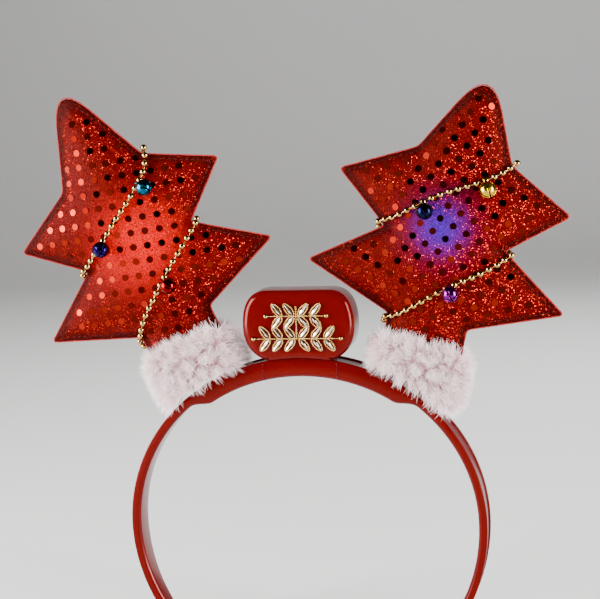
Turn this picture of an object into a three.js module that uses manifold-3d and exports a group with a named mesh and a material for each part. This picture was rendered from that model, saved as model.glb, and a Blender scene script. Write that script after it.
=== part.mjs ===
/**
 * Christmas tree headband: a red plastic hair band with a light box on its crown, and two padded
 * sequinned cloth trees that stand in white fur cuffs. Each tree is wound with a string of gold
 * beads that carries three small bells.
 *
 * Millimetres, +Z up. The front of the headband faces -Y and +X is to the right of someone who
 * looks at it. The origin is the middle of the crown's inner face, where the band rests on a head.
 */
import * as THREE from 'three';
import { mergeVertices } from 'three/addons/utils/BufferGeometryUtils.js';
import Module from 'manifold-3d';

const wasm = await Module();
wasm.setup();

// Gap between pieces that touch
const CLEAR = 0.3;

// Band
const BAND_HALF_WIDTH = 80.5;
const CROWN_RISE = 75;
const LEG_CURVE_DROP = 81;
const LEG_LENGTH = 54;
const BAND_DEPTH = 14;
const LEG_END_DEPTH = 10;
const CROWN_THICKNESS = 8.5;
const LEG_THICKNESS = 4;
const CROWN_HALF_SPAN = 54;
const SHOULDER_LENGTH = 9;
const RIM_WIDTH = 1.8;
const GROOVE_DEPTH = 0.7;
const INNER_CHAMFER = 1.2;

// Light box
const BOX_HALF_WIDTH = 25;
const BOX_HEIGHT = 30;
const BOX_DEPTH = 18;
const BOX_TOP_HALF_WIDTH = 14;
const BOX_FOOT_HALF_WIDTH = 15;
const BOX_EDGE_ROUNDING = 3.5;
const BOX_WAIST_HEIGHT = 14;

// Gold ornament on the light box
const ORNAMENT_UPPER_HALF_WIDTH = 15;
const ORNAMENT_LOWER_HALF_WIDTH = 21;
const ORNAMENT_ROW_PITCH = 10;
const ORNAMENT_LEAF_LENGTH = 7;
const ORNAMENT_LEAF_WIDTH = 3.6;
const ORNAMENT_RELIEF = 1.6;
const ORNAMENT_STEM_WIDTH = 1.2;
const ORNAMENT_BALL_RADIUS = 1.5;

// Trees, with heights measured up from the seat on the band
const LOWER_TIP_HEIGHT = 46.5;
const UPPER_TIP_HEIGHT = 88.5;
const LEFT_TOP_CORNER_HEIGHT = 152;
const RIGHT_TOP_CORNER_HEIGHT = 146;
const LOWER_HALF_WIDTH = 57;
const UPPER_HALF_WIDTH = 51;
const TRUNK_HALF_WIDTH = 17.5;
const TRUNK_TOP_HEIGHT = 31;
const LOWER_NOTCH_HALF_WIDTH = 26.5;
const LOWER_NOTCH_HEIGHT = 68;
const UPPER_NOTCH_HALF_WIDTH = 20.5;
const UPPER_NOTCH_HEIGHT = 104.5;
const LEFT_TOP_DRIFT = 2;
const RIGHT_TOP_DRIFT = 5;
const TOP_ROUNDING = 22;
const SIDE_TIP_ROUNDING = 2.5;
const NOTCH_ROUNDING = 1.5;
const TREE_THICKNESS = 14;
const SEAM_LIP_WIDTH = 2;
const SEAM_LIP_THICKNESS = 1.2;

// Fur cuffs
const CUFF_HEIGHT = 20;
const CUFF_HALF_WIDTH = 20;
const CUFF_HALF_DEPTH = 11;
const CUFF_DROP = 3.5;
const FUR_HANG = 4.5;
const LOCK_LENGTH = 9;
const LOCK_RADIUS = 6;
const LOCKS_AROUND = 9;
const LOCK_ROWS = 3;

// Bead strings and bells
const BEAD_RADIUS = 1.5;
const BEAD_PITCH = 4;
const BEAD_SIDES = 10;
const THREAD_RADIUS = 0.35;
const STRING_CLEAR = 0.45;
const BELL_RADIUS = 3.65;
const BELL_RIM = 0.2;
const BELL_RING_RADIUS = 1.25;
const BELL_WIRE_RADIUS = 0.3;

// Where each tree sits on the band, and how it leans
const TREES = [
  {
    side: 'left',
    topCorner: LEFT_TOP_CORNER_HEIGHT,
    topDrift: -LEFT_TOP_DRIFT,
    seatAngle: THREE.MathUtils.degToRad(-33.5),
    lean: THREE.MathUtils.degToRad(-24),
    cloth: 0xb00d12,
    bells: [
      { name: 'bell_teal', colour: 0x1d7f86, near: [15.5, 46.5], lift: 32 },
      { name: 'bell_navy', colour: 0x1d1a3c, near: [-12.5, 30], lift: 62 },
      { name: 'bell_red', colour: 0xa3121a, near: [4, 2.5], lift: 40 },
    ],
  },
  {
    side: 'right',
    topCorner: RIGHT_TOP_CORNER_HEIGHT,
    topDrift: RIGHT_TOP_DRIFT,
    seatAngle: THREE.MathUtils.degToRad(37.5),
    lean: THREE.MathUtils.degToRad(13.5),
    cloth: 0xb00d12,
    bells: [
      { name: 'bell_gold', colour: 0xc9a24a, near: [12.5, 50.5], lift: 32 },
      { name: 'bell_dark_blue', colour: 0x141a33, near: [-11, 36], lift: 32 },
      { name: 'bell_violet', colour: 0x7b2a86, near: [6, 2], lift: 62 },
    ],
  },
];

// Routes of the bead strings, chosen by hand: across, up from the lower tips, and which face of the
// tree the string lies on (-1 front, 1 back, 0 round the edge)
const FRONT = -1;
const EDGE = 0;
const BACK = 1;
// Where a string turns round a tree's edge, just clear of a notch or of the trunk
const AT_UPPER_NOTCH = [UPPER_NOTCH_HALF_WIDTH + 2.1, UPPER_NOTCH_HEIGHT - LOWER_TIP_HEIGHT + 2, EDGE];
const AT_LOWER_NOTCH = [LOWER_NOTCH_HALF_WIDTH + 3.8, LOWER_NOTCH_HEIGHT - LOWER_TIP_HEIGHT + 0.1, EDGE];
const AT_TRUNK = [-TRUNK_HALF_WIDTH - 2.5, TRUNK_TOP_HEIGHT - LOWER_TIP_HEIGHT - 3, EDGE];
const AT_OTHER_NOTCH = [-AT_LOWER_NOTCH[0], AT_LOWER_NOTCH[1], EDGE];
const STRING_ROUTES = {
  left: [
    [16, 52, BACK], AT_UPPER_NOTCH, [19.8, 51.5, FRONT], [12.6, 45.2, FRONT], [5, 40.2, FRONT],
    [-2.5, 36, FRONT], [-10.2, 31.3, FRONT], [-18.5, 27, FRONT], [-24.4, 23.8, FRONT], AT_OTHER_NOTCH,
    [-24, 19, BACK], [0, 19.8, BACK], [24, 19.6, BACK], AT_LOWER_NOTCH, [24.4, 16.4, FRONT],
    [17.5, 11.6, FRONT], [10.6, 7, FRONT], [3.5, 2, FRONT], [-3.2, -3, FRONT], [-10, -7.9, FRONT],
    [-15.5, -13, FRONT], AT_TRUNK, [-12, -21, BACK],
  ],
  right: [
    [16, 52, BACK], AT_UPPER_NOTCH, [18.2, 55, FRONT], [11.2, 49.9, FRONT], [4.5, 46, FRONT],
    [-2.4, 42.1, FRONT], [-9.3, 37.6, FRONT], [-15.2, 32.9, FRONT], [-21.8, 27.5, FRONT], AT_OTHER_NOTCH,
    [-24, 19, BACK], [0, 19.8, BACK], [24, 19.6, BACK], AT_LOWER_NOTCH, [24.8, 15.8, FRONT],
    [17.6, 9.9, FRONT], [11, 5.4, FRONT], [3.5, -0.3, FRONT], [-3, -6, FRONT], [-9.3, -11.5, FRONT],
    [-14.5, -15.6, FRONT], AT_TRUNK, [-12, -21, BACK],
  ],
};

// Helpers

/** Closed body through rings of points that all have the same count. Its faces point out. */
function skin(rings) {
  const sides = rings[0].length;
  const points = rings.flat();
  const first = points.length;
  points.push(middle(rings[0]), middle(rings.at(-1)));
  const index = [];
  for (let row = 0; row + 1 < rings.length; row++) {
    for (let side = 0; side < sides; side++) {
      const next = (side + 1) % sides;
      const a = row * sides + side;
      const b = row * sides + next;
      index.push(a, b, b + sides, a, b + sides, a + sides);
    }
  }
  const last = (rings.length - 1) * sides;
  for (let side = 0; side < sides; side++) {
    const next = (side + 1) % sides;
    index.push(first, next, side, first + 1, last + side, last + next);
  }
  if (signedVolume(points, index) < 0) index.reverse();
  const geometry = new THREE.BufferGeometry().setFromPoints(points);
  geometry.setIndex(index);
  return geometry;
}

function middle(ring) {
  const sum = new THREE.Vector3();
  for (const point of ring) sum.add(point);
  return sum.divideScalar(ring.length);
}

function signedVolume(points, index) {
  const cross = new THREE.Vector3();
  let volume = 0;
  for (let i = 0; i < index.length; i += 3) {
    const [a, b, c] = [points[index[i]], points[index[i + 1]], points[index[i + 2]]];
    volume += a.dot(cross.crossVectors(b, c)) / 6;
  }
  return volume;
}

/** Three.js geometry as a solid that can be joined and cut. */
function solid(geometry) {
  const bare = geometry.clone();
  bare.deleteAttribute('normal');
  bare.deleteAttribute('uv');
  const merged = mergeVertices(bare, 1e-4);
  return new wasm.Manifold(new wasm.Mesh({
    numProp: 3,
    vertProperties: new Float32Array(merged.attributes.position.array),
    triVerts: new Uint32Array(merged.index.array),
  }));
}

function geometryOf(body) {
  const mesh = body.getMesh();
  const geometry = new THREE.BufferGeometry();
  geometry.setAttribute('position', new THREE.BufferAttribute(mesh.vertProperties, 3));
  geometry.setIndex(new THREE.BufferAttribute(mesh.triVerts, 1));
  return geometry;
}

/** The largest connected piece of a body, without the slivers that a cut leaves loose. */
function largestPiece(body) {
  return body.decompose().reduce((best, piece) => (piece.volume() > best.volume() ? piece : best));
}

function mesh(name, geometry, colour, roughness, metalness = 0) {
  const faceted = geometry.clone();
  faceted.computeVertexNormals();
  const material = new THREE.MeshStandardMaterial({ color: colour, roughness, metalness });
  const piece = new THREE.Mesh(faceted, material);
  piece.name = name;
  return piece;
}

// Band

/** Place on the band's outer curve, by the angle from the crown's middle, with its outward normal. */
function bandPoint(angle) {
  const rise = Math.cos(angle) > 0 ? CROWN_RISE : LEG_CURVE_DROP;
  const point = new THREE.Vector3(
    BAND_HALF_WIDTH * Math.sin(angle),
    0,
    CROWN_THICKNESS - CROWN_RISE + rise * Math.cos(angle),
  );
  const normal = new THREE.Vector3(rise * Math.sin(angle), 0, BAND_HALF_WIDTH * Math.cos(angle));
  return { point, normal: normal.normalize() };
}

/** Ring of the band's section at one angle, widened on every side by grow. */
function bandSection(angle, endAngle, grow) {
  const { point, normal } = bandPoint(angle);
  const pastCrown = Math.abs(point.x) - (CROWN_HALF_SPAN - SHOULDER_LENGTH);
  const onLeg = Math.cos(angle) > 0 ? pastCrown : SHOULDER_LENGTH;
  const leg = THREE.MathUtils.smoothstep(onLeg, 0, SHOULDER_LENGTH);
  const towardEnd = THREE.MathUtils.smoothstep(Math.abs(angle), Math.PI / 2, endAngle);
  const half = THREE.MathUtils.lerp(BAND_DEPTH, LEG_END_DEPTH, towardEnd) / 2 + grow;
  const bottom = -THREE.MathUtils.lerp(CROWN_THICKNESS, LEG_THICKNESS, leg) - grow;
  const rim = half - RIM_WIDTH - 2 * grow;
  const outline = [
    [-half, bottom + INNER_CHAMFER], [-half + INNER_CHAMFER, bottom],
    [half - INNER_CHAMFER, bottom], [half, bottom + INNER_CHAMFER],
    [half, grow], [rim, grow], [rim, grow - GROOVE_DEPTH],
    [-rim, grow - GROOVE_DEPTH], [-rim, grow], [-half, grow],
  ];
  return outline.map(([y, out]) => point.clone().addScaledVector(normal, out).setY(y));
}

function bandGeometry(grow = 0) {
  const endAngle = Math.PI / 2 + Math.asin(LEG_LENGTH / LEG_CURVE_DROP);
  const shoulderStart = Math.asin((CROWN_HALF_SPAN - SHOULDER_LENGTH) / BAND_HALF_WIDTH);
  const shoulderEnd = Math.asin(CROWN_HALF_SPAN / BAND_HALF_WIDTH);
  const crownSteps = 12;
  const shoulderSteps = 4;
  const legSteps = 9;
  const angles = [
    ...steps(-endAngle, -shoulderEnd, legSteps),
    ...steps(-shoulderEnd, -shoulderStart, shoulderSteps),
    ...steps(-shoulderStart, shoulderStart, crownSteps),
    ...steps(shoulderStart, shoulderEnd, shoulderSteps),
    ...steps(shoulderEnd, endAngle, legSteps),
    endAngle,
  ];
  return skin(angles.map((angle) => bandSection(angle, endAngle, grow)));
}

/** Evenly spaced values from start, up to but not including end. */
function steps(start, end, count) {
  return Array.from({ length: count }, (_, i) => THREE.MathUtils.lerp(start, end, i / count));
}

/** Everything inside the band's outer curve moved out by offset, to cut what stands on the band. */
function archCutter(offset) {
  const halfDepth = 50;
  const arch = new THREE.CylinderGeometry(1, 1, 2 * halfDepth, 96);
  arch.rotateY(Math.PI / 96);
  arch.scale(BAND_HALF_WIDTH + offset, 1, CROWN_RISE + offset);
  arch.translate(0, 0, CROWN_THICKNESS - CROWN_RISE);
  return arch;
}

// Light box

function boxOutline() {
  const inset = BOX_EDGE_ROUNDING;
  const bottom = CROWN_THICKNESS;
  const top = bottom + BOX_HEIGHT - inset;
  const waist = bottom + BOX_WAIST_HEIGHT;
  const half = BOX_HALF_WIDTH - inset;
  const foot = BOX_FOOT_HALF_WIDTH - inset;
  const outline = new THREE.Shape();
  outline.moveTo(-foot, bottom - BOX_EDGE_ROUNDING);
  outline.lineTo(foot, bottom - BOX_EDGE_ROUNDING);
  outline.lineTo(foot, bottom + inset / 2);
  outline.quadraticCurveTo(half, bottom + inset, half, waist);
  outline.quadraticCurveTo(half, top, BOX_TOP_HALF_WIDTH, top);
  outline.lineTo(-BOX_TOP_HALF_WIDTH, top);
  outline.quadraticCurveTo(-half, top, -half, waist);
  outline.quadraticCurveTo(-half, bottom + inset, -foot, bottom + inset / 2);
  return outline;
}

function lightBoxGeometry() {
  const box = new THREE.ExtrudeGeometry(boxOutline(), {
    depth: BOX_DEPTH - 2 * BOX_EDGE_ROUNDING,
    bevelThickness: BOX_EDGE_ROUNDING,
    bevelSize: BOX_EDGE_ROUNDING,
    bevelSegments: 2,
    curveSegments: 4,
  });
  box.rotateX(Math.PI / 2);
  box.translate(0, BOX_DEPTH / 2 - BOX_EDGE_ROUNDING, 0);
  return geometryOf(solid(box).subtract(solid(archCutter(CLEAR))));
}

// Gold ornament

/** Ridged leaf that starts at the origin and points along +X. */
function leafGeometry(length) {
  const leaf = new THREE.OctahedronGeometry(1);
  leaf.scale(length / 2, ORNAMENT_RELIEF, ORNAMENT_LEAF_WIDTH / 2);
  leaf.translate(length / 2, 0, 0);
  return leaf;
}

/** One row of leaves along a stem, with a ball at each end, about the middle of the row. */
function leafRow(halfWidth, pairs) {
  const stemLength = 2 * halfWidth - 2 * ORNAMENT_BALL_RADIUS;
  const pieces = [new THREE.BoxGeometry(stemLength, ORNAMENT_RELIEF, ORNAMENT_STEM_WIDTH)];
  const spacing = (halfWidth - ORNAMENT_BALL_RADIUS) / (pairs + 0.5);
  const rise = THREE.MathUtils.degToRad(52);
  for (const way of [-1, 1]) {
    for (let pair = 0; pair < pairs; pair++) {
      for (const up of [-1, 1]) {
        const leaf = leafGeometry(ORNAMENT_LEAF_LENGTH);
        leaf.rotateY(-up * rise);
        leaf.translate((pair + 0.2) * spacing, 0, 0);
        if (way < 0) leaf.rotateZ(Math.PI);
        pieces.push(leaf);
      }
    }
    const ball = new THREE.IcosahedronGeometry(ORNAMENT_BALL_RADIUS);
    ball.translate(way * (halfWidth - ORNAMENT_BALL_RADIUS), 0, 0);
    pieces.push(ball);
  }
  return pieces;
}

function badgeGeometry() {
  const upper = leafRow(ORNAMENT_UPPER_HALF_WIDTH, 2);
  for (const piece of upper) piece.translate(0, 0, ORNAMENT_ROW_PITCH);
  const lower = leafRow(ORNAMENT_LOWER_HALF_WIDTH, 3);
  const link = new THREE.BoxGeometry(ORNAMENT_STEM_WIDTH, ORNAMENT_RELIEF, ORNAMENT_ROW_PITCH);
  link.translate(0, 0, ORNAMENT_ROW_PITCH / 2);
  const behind = new THREE.BoxGeometry(4 * BOX_HALF_WIDTH, BOX_DEPTH, 4 * BOX_HEIGHT);
  behind.translate(0, BOX_DEPTH / 2, 0);
  const joined = wasm.Manifold.union([...upper, ...lower, link].map(solid));
  return geometryOf(joined.subtract(solid(behind)));
}

// Trees

/** Corners of a tree's outline on its right side, from the top down, in the tree's own frame. */
function outlineCorners(tree) {
  const belowSeat = -14;
  return [
    { across: 0, up: tree.topCorner, round: TOP_ROUNDING, arcs: 4 },
    { across: UPPER_NOTCH_HALF_WIDTH, up: UPPER_NOTCH_HEIGHT, round: NOTCH_ROUNDING, arcs: 1 },
    { across: UPPER_HALF_WIDTH, up: UPPER_TIP_HEIGHT, round: SIDE_TIP_ROUNDING, arcs: 2 },
    { across: LOWER_NOTCH_HALF_WIDTH, up: LOWER_NOTCH_HEIGHT, round: NOTCH_ROUNDING, arcs: 1 },
    { across: LOWER_HALF_WIDTH, up: LOWER_TIP_HEIGHT, round: SIDE_TIP_ROUNDING, arcs: 2 },
    { across: TRUNK_HALF_WIDTH, up: TRUNK_TOP_HEIGHT, round: NOTCH_ROUNDING, arcs: 1 },
    { across: TRUNK_HALF_WIDTH, up: belowSeat, round: NOTCH_ROUNDING, arcs: 1 },
  ];
}

/** How far aside a tree's top is drawn, at a height above its seat. */
function drift(tree, up) {
  return tree.topDrift * Math.max(0, up - UPPER_TIP_HEIGHT) / (tree.topCorner - UPPER_TIP_HEIGHT);
}

/** Closed outline of a tree with rounded corners, its top drawn to the outer side. */
function treeOutline(tree) {
  const half = outlineCorners(tree);
  const other = half.slice(1).reverse().map((corner) => ({ ...corner, across: -corner.across }));
  const corners = [...half, ...other];
  const points = [];
  corners.forEach((corner, i) => {
    const before = corners.at(i - 1);
    const after = corners[(i + 1) % corners.length];
    const here = new THREE.Vector2(corner.across, corner.up);
    const start = towards(here, before, corner.round);
    const end = towards(here, after, corner.round);
    points.push(...new THREE.QuadraticBezierCurve(start, here, end).getPoints(corner.arcs));
  });
  for (const point of points) point.x += drift(tree, point.y);
  return points;
}

function towards(from, corner, distance) {
  const to = new THREE.Vector2(corner.across, corner.up);
  return from.clone().add(to.sub(from).setLength(distance));
}

/** Outline moved inward by a distance, point by point, along the mean of its two edges' normals. */
function inset(outline, distance) {
  return outline.map((point, i) => {
    const before = outline.at(i - 1);
    const after = outline[(i + 1) % outline.length];
    const along = after.clone().sub(before).normalize();
    return new THREE.Vector2(point.x + along.y * distance, point.y - along.x * distance);
  });
}

/** Padded tree: rings from the middle of the front to the seam lip and on to the middle of the back. */
function treeGeometry(tree) {
  const outline = treeOutline(tree);
  const heart = new THREE.Vector2(0, (LOWER_NOTCH_HEIGHT + UPPER_TIP_HEIGHT) / 2 - 6);
  const fullness = [[0.35, 1], [0.84, 0.56]];
  const rings = fullness.map(([share, full]) => ({
    outline: outline.map((point) => heart.clone().lerp(point, share)),
    y: (TREE_THICKNESS / 2) * full,
  }));
  const lip = SEAM_LIP_THICKNESS / 2;
  rings.push({ outline: inset(outline, SEAM_LIP_WIDTH), y: lip }, { outline, y: lip });
  const ringAt = (ring, way) => (
    ring.outline.map((point) => new THREE.Vector3(point.x, way * ring.y, point.y))
  );
  const front = rings.map((ring) => ringAt(ring, -1));
  const back = rings.map((ring) => ringAt(ring, 1)).reverse();
  return skin([...front, ...back]);
}

// Fur cuffs

/** Point on the cuff's rounded oval wall, by the angle round the trunk. */
function cuffPoint(angle, halfWidth, halfDepth) {
  const squareness = 2 / 3;
  const [c, s] = [Math.cos(angle), Math.sin(angle)];
  return new THREE.Vector3(
    halfWidth * Math.sign(c) * Math.abs(c) ** squareness,
    halfDepth * Math.sign(s) * Math.abs(s) ** squareness,
    0,
  );
}

/** Upright column with the cuff's rounded oval plan. */
function cuffColumn(halfWidth, halfDepth, bottom, top) {
  const sides = 16;
  return skin([bottom, top].map((level) => Array.from({ length: sides }, (_, side) => (
    cuffPoint(side / sides * 2 * Math.PI, halfWidth, halfDepth).setZ(level)
  ))));
}

/** Locks of fur: cones that stand out from the cuff's wall, each row turned half a step. */
function furLocks() {
  const locks = [];
  const buried = LOCK_LENGTH * 0.45;
  for (let row = 0; row < LOCK_ROWS; row++) {
    const share = row / (LOCK_ROWS - 1);
    const level = THREE.MathUtils.lerp(LOCK_RADIUS / 2 - CUFF_DROP, CUFF_HEIGHT - LOCK_RADIUS / 2, share);
    const droop = THREE.MathUtils.lerp(-0.4, 0.4, share);
    for (let i = 0; i < LOCKS_AROUND; i++) {
      const angle = (i + (row % 2) / 2) / LOCKS_AROUND * 2 * Math.PI;
      const root = cuffPoint(angle, CUFF_HALF_WIDTH, CUFF_HALF_DEPTH).setZ(level);
      const out = new THREE.Vector3(root.x / CUFF_HALF_WIDTH ** 2, root.y / CUFF_HALF_DEPTH ** 2, 0);
      out.normalize().setZ(droop);
      out.normalize();
      const lock = new THREE.ConeGeometry(LOCK_RADIUS, LOCK_LENGTH, 4);
      lock.translate(0, LOCK_LENGTH / 2 - buried, 0);
      lock.applyQuaternion(new THREE.Quaternion().setFromUnitVectors(new THREE.Vector3(0, 1, 0), out));
      lock.translate(root.x, root.y, root.z);
      locks.push(solid(lock));
    }
  }
  return locks;
}

/** Fur cuff in its tree's frame: it closes round the trunk and hangs over the band's edges. */
function cuffGeometry(toTree) {
  const hem = solid(archCutter(-FUR_HANG).applyMatrix4(toTree));
  const band = solid(bandGeometry(CLEAR).applyMatrix4(toTree));
  const sleeveHalfWidth = TRUNK_HALF_WIDTH + 2 * CLEAR;
  const sleeveHalfDepth = TREE_THICKNESS * 0.45 + CLEAR;
  const sleeve = solid(cuffColumn(sleeveHalfWidth, sleeveHalfDepth, -CUFF_HEIGHT, 2 * CUFF_HEIGHT));
  const backing = solid(cuffColumn(CUFF_HALF_WIDTH, CUFF_HALF_DEPTH, -CUFF_DROP, CUFF_HEIGHT));
  const fur = wasm.Manifold.union([backing, ...furLocks()]);
  return geometryOf(largestPiece(fur.subtract(hem).subtract(band).subtract(sleeve)));
}

/** What the trunk's foot is cut by: the band below it, and all that would show under the cuff. */
function trunkCutter(toTree) {
  const under = new THREE.BoxGeometry(4 * TRUNK_HALF_WIDTH, 2 * TREE_THICKNESS, CUFF_HEIGHT);
  under.translate(0, 0, -CUFF_HEIGHT / 2 - CUFF_DROP + 2 * CLEAR);
  return solid(archCutter(CLEAR).applyMatrix4(toTree)).add(solid(under));
}

// Bead strings

/** Distance from a point to the nearest face of a body. */
function distanceTo(triangles, point) {
  const spot = new THREE.Vector3();
  let nearest = Infinity;
  for (const triangle of triangles) {
    triangle.closestPointToPoint(point, spot);
    nearest = Math.min(nearest, spot.distanceTo(point));
  }
  return nearest;
}

function trianglesOf(geometry) {
  const { position } = geometry.attributes;
  const { index } = geometry;
  const corner = (i) => new THREE.Vector3().fromBufferAttribute(position, index.getX(i));
  return Array.from({ length: index.count / 3 }, (_, i) => (
    new THREE.Triangle(corner(3 * i), corner(3 * i + 1), corner(3 * i + 2))
  ));
}

/**
 * The string's route laid on its tree, as a curve in the tree's frame: each place of the route comes
 * in from the front or the back until a bead there lies on the cloth, or is level with the seam.
 */
function stringCurve(tree, cloth) {
  const route = STRING_ROUTES[tree.side];
  const triangles = trianglesOf(cloth);
  const plan = new THREE.CatmullRomCurve3(route.map(([across, up]) => new THREE.Vector3(across, 0, up)));
  const reach = BEAD_RADIUS + STRING_CLEAR;
  const samplesPerStop = 6;
  const points = [];
  let side = route[0][2];
  for (let i = 0; i <= (route.length - 1) * samplesPerStop; i++) {
    const point = plan.getPoint(i / (route.length - 1) / samplesPerStop);
    point.z += LOWER_TIP_HEIGHT;
    point.x += drift(tree, point.z);
    const stop = route[Math.floor(i / samplesPerStop)];
    if (i % samplesPerStop === 0 && stop[2] === EDGE) {
      side = route[i / samplesPerStop + 1][2];
    } else {
      point.y = side * TREE_THICKNESS;
      let room = Infinity;
      while (room > 0.01 && side * point.y > 0) {
        room = distanceTo(triangles, point) - reach;
        point.y -= side * room;
      }
      if (side * point.y < 0) point.y = 0;
    }
    points.push(point);
  }
  return new THREE.CatmullRomCurve3(points, false, 'centripetal');
}

/** Beads on a thread as one body: three rings to each bead, the narrowest halfway between two. */
function stringGeometry(curve) {
  const radii = [THREAD_RADIUS, BEAD_RADIUS, BEAD_RADIUS];
  const ringsPerBead = radii.length;
  const beads = Math.round(curve.getLength() / BEAD_PITCH);
  const rows = beads * ringsPerBead;
  const frames = curve.computeFrenetFrames(rows);
  const rings = Array.from({ length: rows + 1 }, (_, row) => {
    const centre = curve.getPointAt(row / rows);
    const radius = radii[row % ringsPerBead];
    return Array.from({ length: BEAD_SIDES }, (_side, side) => {
      const angle = side / BEAD_SIDES * 2 * Math.PI;
      return centre.clone()
        .addScaledVector(frames.normals[row], radius * Math.cos(angle))
        .addScaledVector(frames.binormals[row], radius * Math.sin(angle));
    });
  });
  return skin(rings);
}

// Bells

/** Bell that hangs from the origin, where the thread runs along X inside its ring. */
function bellGeometry() {
  const centre = BELL_WIRE_RADIUS / 2 - BELL_RING_RADIUS - BELL_RADIUS;
  const rim = 1 + BELL_RIM / BELL_RADIUS;
  const profile = [[0, -1], [0.72, -0.7], [rim, -0.06], [rim, 0.06], [0.72, 0.7], [0, 1]];
  const ball = new THREE.LatheGeometry(
    profile.map(([out, up]) => new THREE.Vector2(out * BELL_RADIUS, centre + up * BELL_RADIUS)),
    10,
  );
  ball.rotateX(Math.PI / 2);
  const ring = new THREE.TorusGeometry(BELL_RING_RADIUS, BELL_WIRE_RADIUS, 5, 8);
  ring.rotateY(Math.PI / 2);
  return geometryOf(solid(ball).add(solid(ring)));
}

/** Turns and moves a bell so that its ring closes round the gap between two beads. */
function hangBell(bell, curve, down, spec, treeMesh) {
  const gaps = Math.round(curve.getLength() / BEAD_PITCH);
  const target = new THREE.Vector3(spec.near[0], 0, spec.near[1] + LOWER_TIP_HEIGHT);
  let best = { distance: Infinity };
  for (let gap = 1; gap < gaps; gap++) {
    const point = curve.getPointAt(gap / gaps);
    const distance = Math.hypot(point.x - target.x, point.z - target.z);
    if (point.y < 0 && distance < best.distance) {
      best = { distance, point, tangent: curve.getTangentAt(gap / gaps) };
    }
  }
  const start = best.point.clone().setY(-TREE_THICKNESS);
  const hit = new THREE.Raycaster(start, new THREE.Vector3(0, 1, 0)).intersectObject(treeMesh)[0];
  const off = hit.face.normal.clone().projectOnPlane(best.tangent).normalize();
  const fall = new THREE.Vector3().crossVectors(off, best.tangent).normalize();
  if (fall.dot(down) < 0) fall.negate();
  const lift = THREE.MathUtils.degToRad(spec.lift);
  const hang = fall.multiplyScalar(Math.cos(lift)).addScaledVector(off, Math.sin(lift));
  const up = hang.clone().negate();
  const third = new THREE.Vector3().crossVectors(up, best.tangent);
  bell.setRotationFromMatrix(new THREE.Matrix4().makeBasis(best.tangent, third, up));
  bell.position.copy(best.point);
}

// Assembly

const headband = new THREE.Group();
headband.add(mesh('headband', bandGeometry(), 0xa30d14, 0.25));
headband.add(mesh('light_box', lightBoxGeometry(), 0xb01018, 0.2));

const badge = mesh('badge', badgeGeometry(), 0xd3b264, 0.3, 1);
badge.position.set(0, -BOX_DEPTH / 2 - CLEAR, CROWN_THICKNESS + BOX_WAIST_HEIGHT - ORNAMENT_ROW_PITCH / 2);
headband.add(badge);

for (const tree of TREES) {
  const frame = new THREE.Group();
  frame.position.copy(bandPoint(tree.seatAngle).point);
  frame.rotation.y = tree.lean;
  frame.updateMatrix();
  const toTree = frame.matrix.clone().invert();
  const cloth = geometryOf(solid(treeGeometry(tree)).subtract(trunkCutter(toTree)));
  const treeMesh = mesh(`tree_${tree.side}`, cloth, tree.cloth, 0.55);
  frame.add(treeMesh);
  frame.add(mesh(`fur_cuff_${tree.side}`, cuffGeometry(toTree), 0xf2efee, 0.95));

  const curve = stringCurve(tree, cloth);
  frame.add(mesh(`bead_string_${tree.side}`, stringGeometry(curve), 0xcaa04e, 0.3, 1));
  const down = new THREE.Vector3(0, 0, -1).transformDirection(toTree);
  for (const spec of tree.bells) {
    const bell = mesh(spec.name, bellGeometry(), spec.colour, 0.25, 1);
    hangBell(bell, curve, down, spec, treeMesh);
    frame.add(bell);
  }
  headband.add(frame);
}

export default headband;
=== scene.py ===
"""Looks of the christmas tree headband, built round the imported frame.

Lengths in the tables and in the shape functions are in millimetres; a mesh is in metres.
A tree's own frame has its origin on the band, X across to the right, Y to the back, Z up its trunk.
"""

import math

import bmesh
import bpy
import numpy as np
from mathutils import Matrix, Vector
from mathutils.bvhtree import BVHTree
from mathutils.geometry import delaunay_2d_cdt


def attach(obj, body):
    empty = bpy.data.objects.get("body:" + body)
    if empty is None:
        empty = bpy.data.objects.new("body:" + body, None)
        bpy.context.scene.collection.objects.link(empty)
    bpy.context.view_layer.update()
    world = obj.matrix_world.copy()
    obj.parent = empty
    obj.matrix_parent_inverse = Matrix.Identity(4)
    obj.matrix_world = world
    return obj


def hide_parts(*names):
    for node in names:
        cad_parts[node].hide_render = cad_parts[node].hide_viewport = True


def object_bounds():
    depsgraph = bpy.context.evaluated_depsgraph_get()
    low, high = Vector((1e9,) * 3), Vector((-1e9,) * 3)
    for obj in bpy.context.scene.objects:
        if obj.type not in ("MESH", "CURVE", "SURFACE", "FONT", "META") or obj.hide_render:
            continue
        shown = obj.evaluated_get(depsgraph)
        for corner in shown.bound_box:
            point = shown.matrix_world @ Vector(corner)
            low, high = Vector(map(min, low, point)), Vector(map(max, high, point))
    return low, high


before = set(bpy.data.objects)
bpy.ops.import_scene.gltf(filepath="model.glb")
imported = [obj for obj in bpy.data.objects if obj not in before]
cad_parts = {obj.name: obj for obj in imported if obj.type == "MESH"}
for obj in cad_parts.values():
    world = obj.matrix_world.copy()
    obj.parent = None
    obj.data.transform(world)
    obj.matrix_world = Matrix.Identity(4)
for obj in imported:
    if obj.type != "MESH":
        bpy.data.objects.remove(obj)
cad_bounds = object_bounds()

MM = 0.001

# Band
BAND_HALF_WIDTH = 80.5
CROWN_RISE = 75
LEG_CURVE_DROP = 81
LEG_LENGTH = 54
BAND_DEPTH = 14
LEG_END_DEPTH = 10
CROWN_THICKNESS = 8.5
LEG_THICKNESS = 4
CROWN_HALF_SPAN = 54
SHOULDER_LENGTH = 9
RIM_WIDTH = 1.8
GROOVE_DEPTH = 0.7
INNER_CHAMFER = 1.2
BAND_END_ROUNDING = 1.6
BAND_GAP = 0.3
CROWN_MARK_SPAN = 16.6

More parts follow.
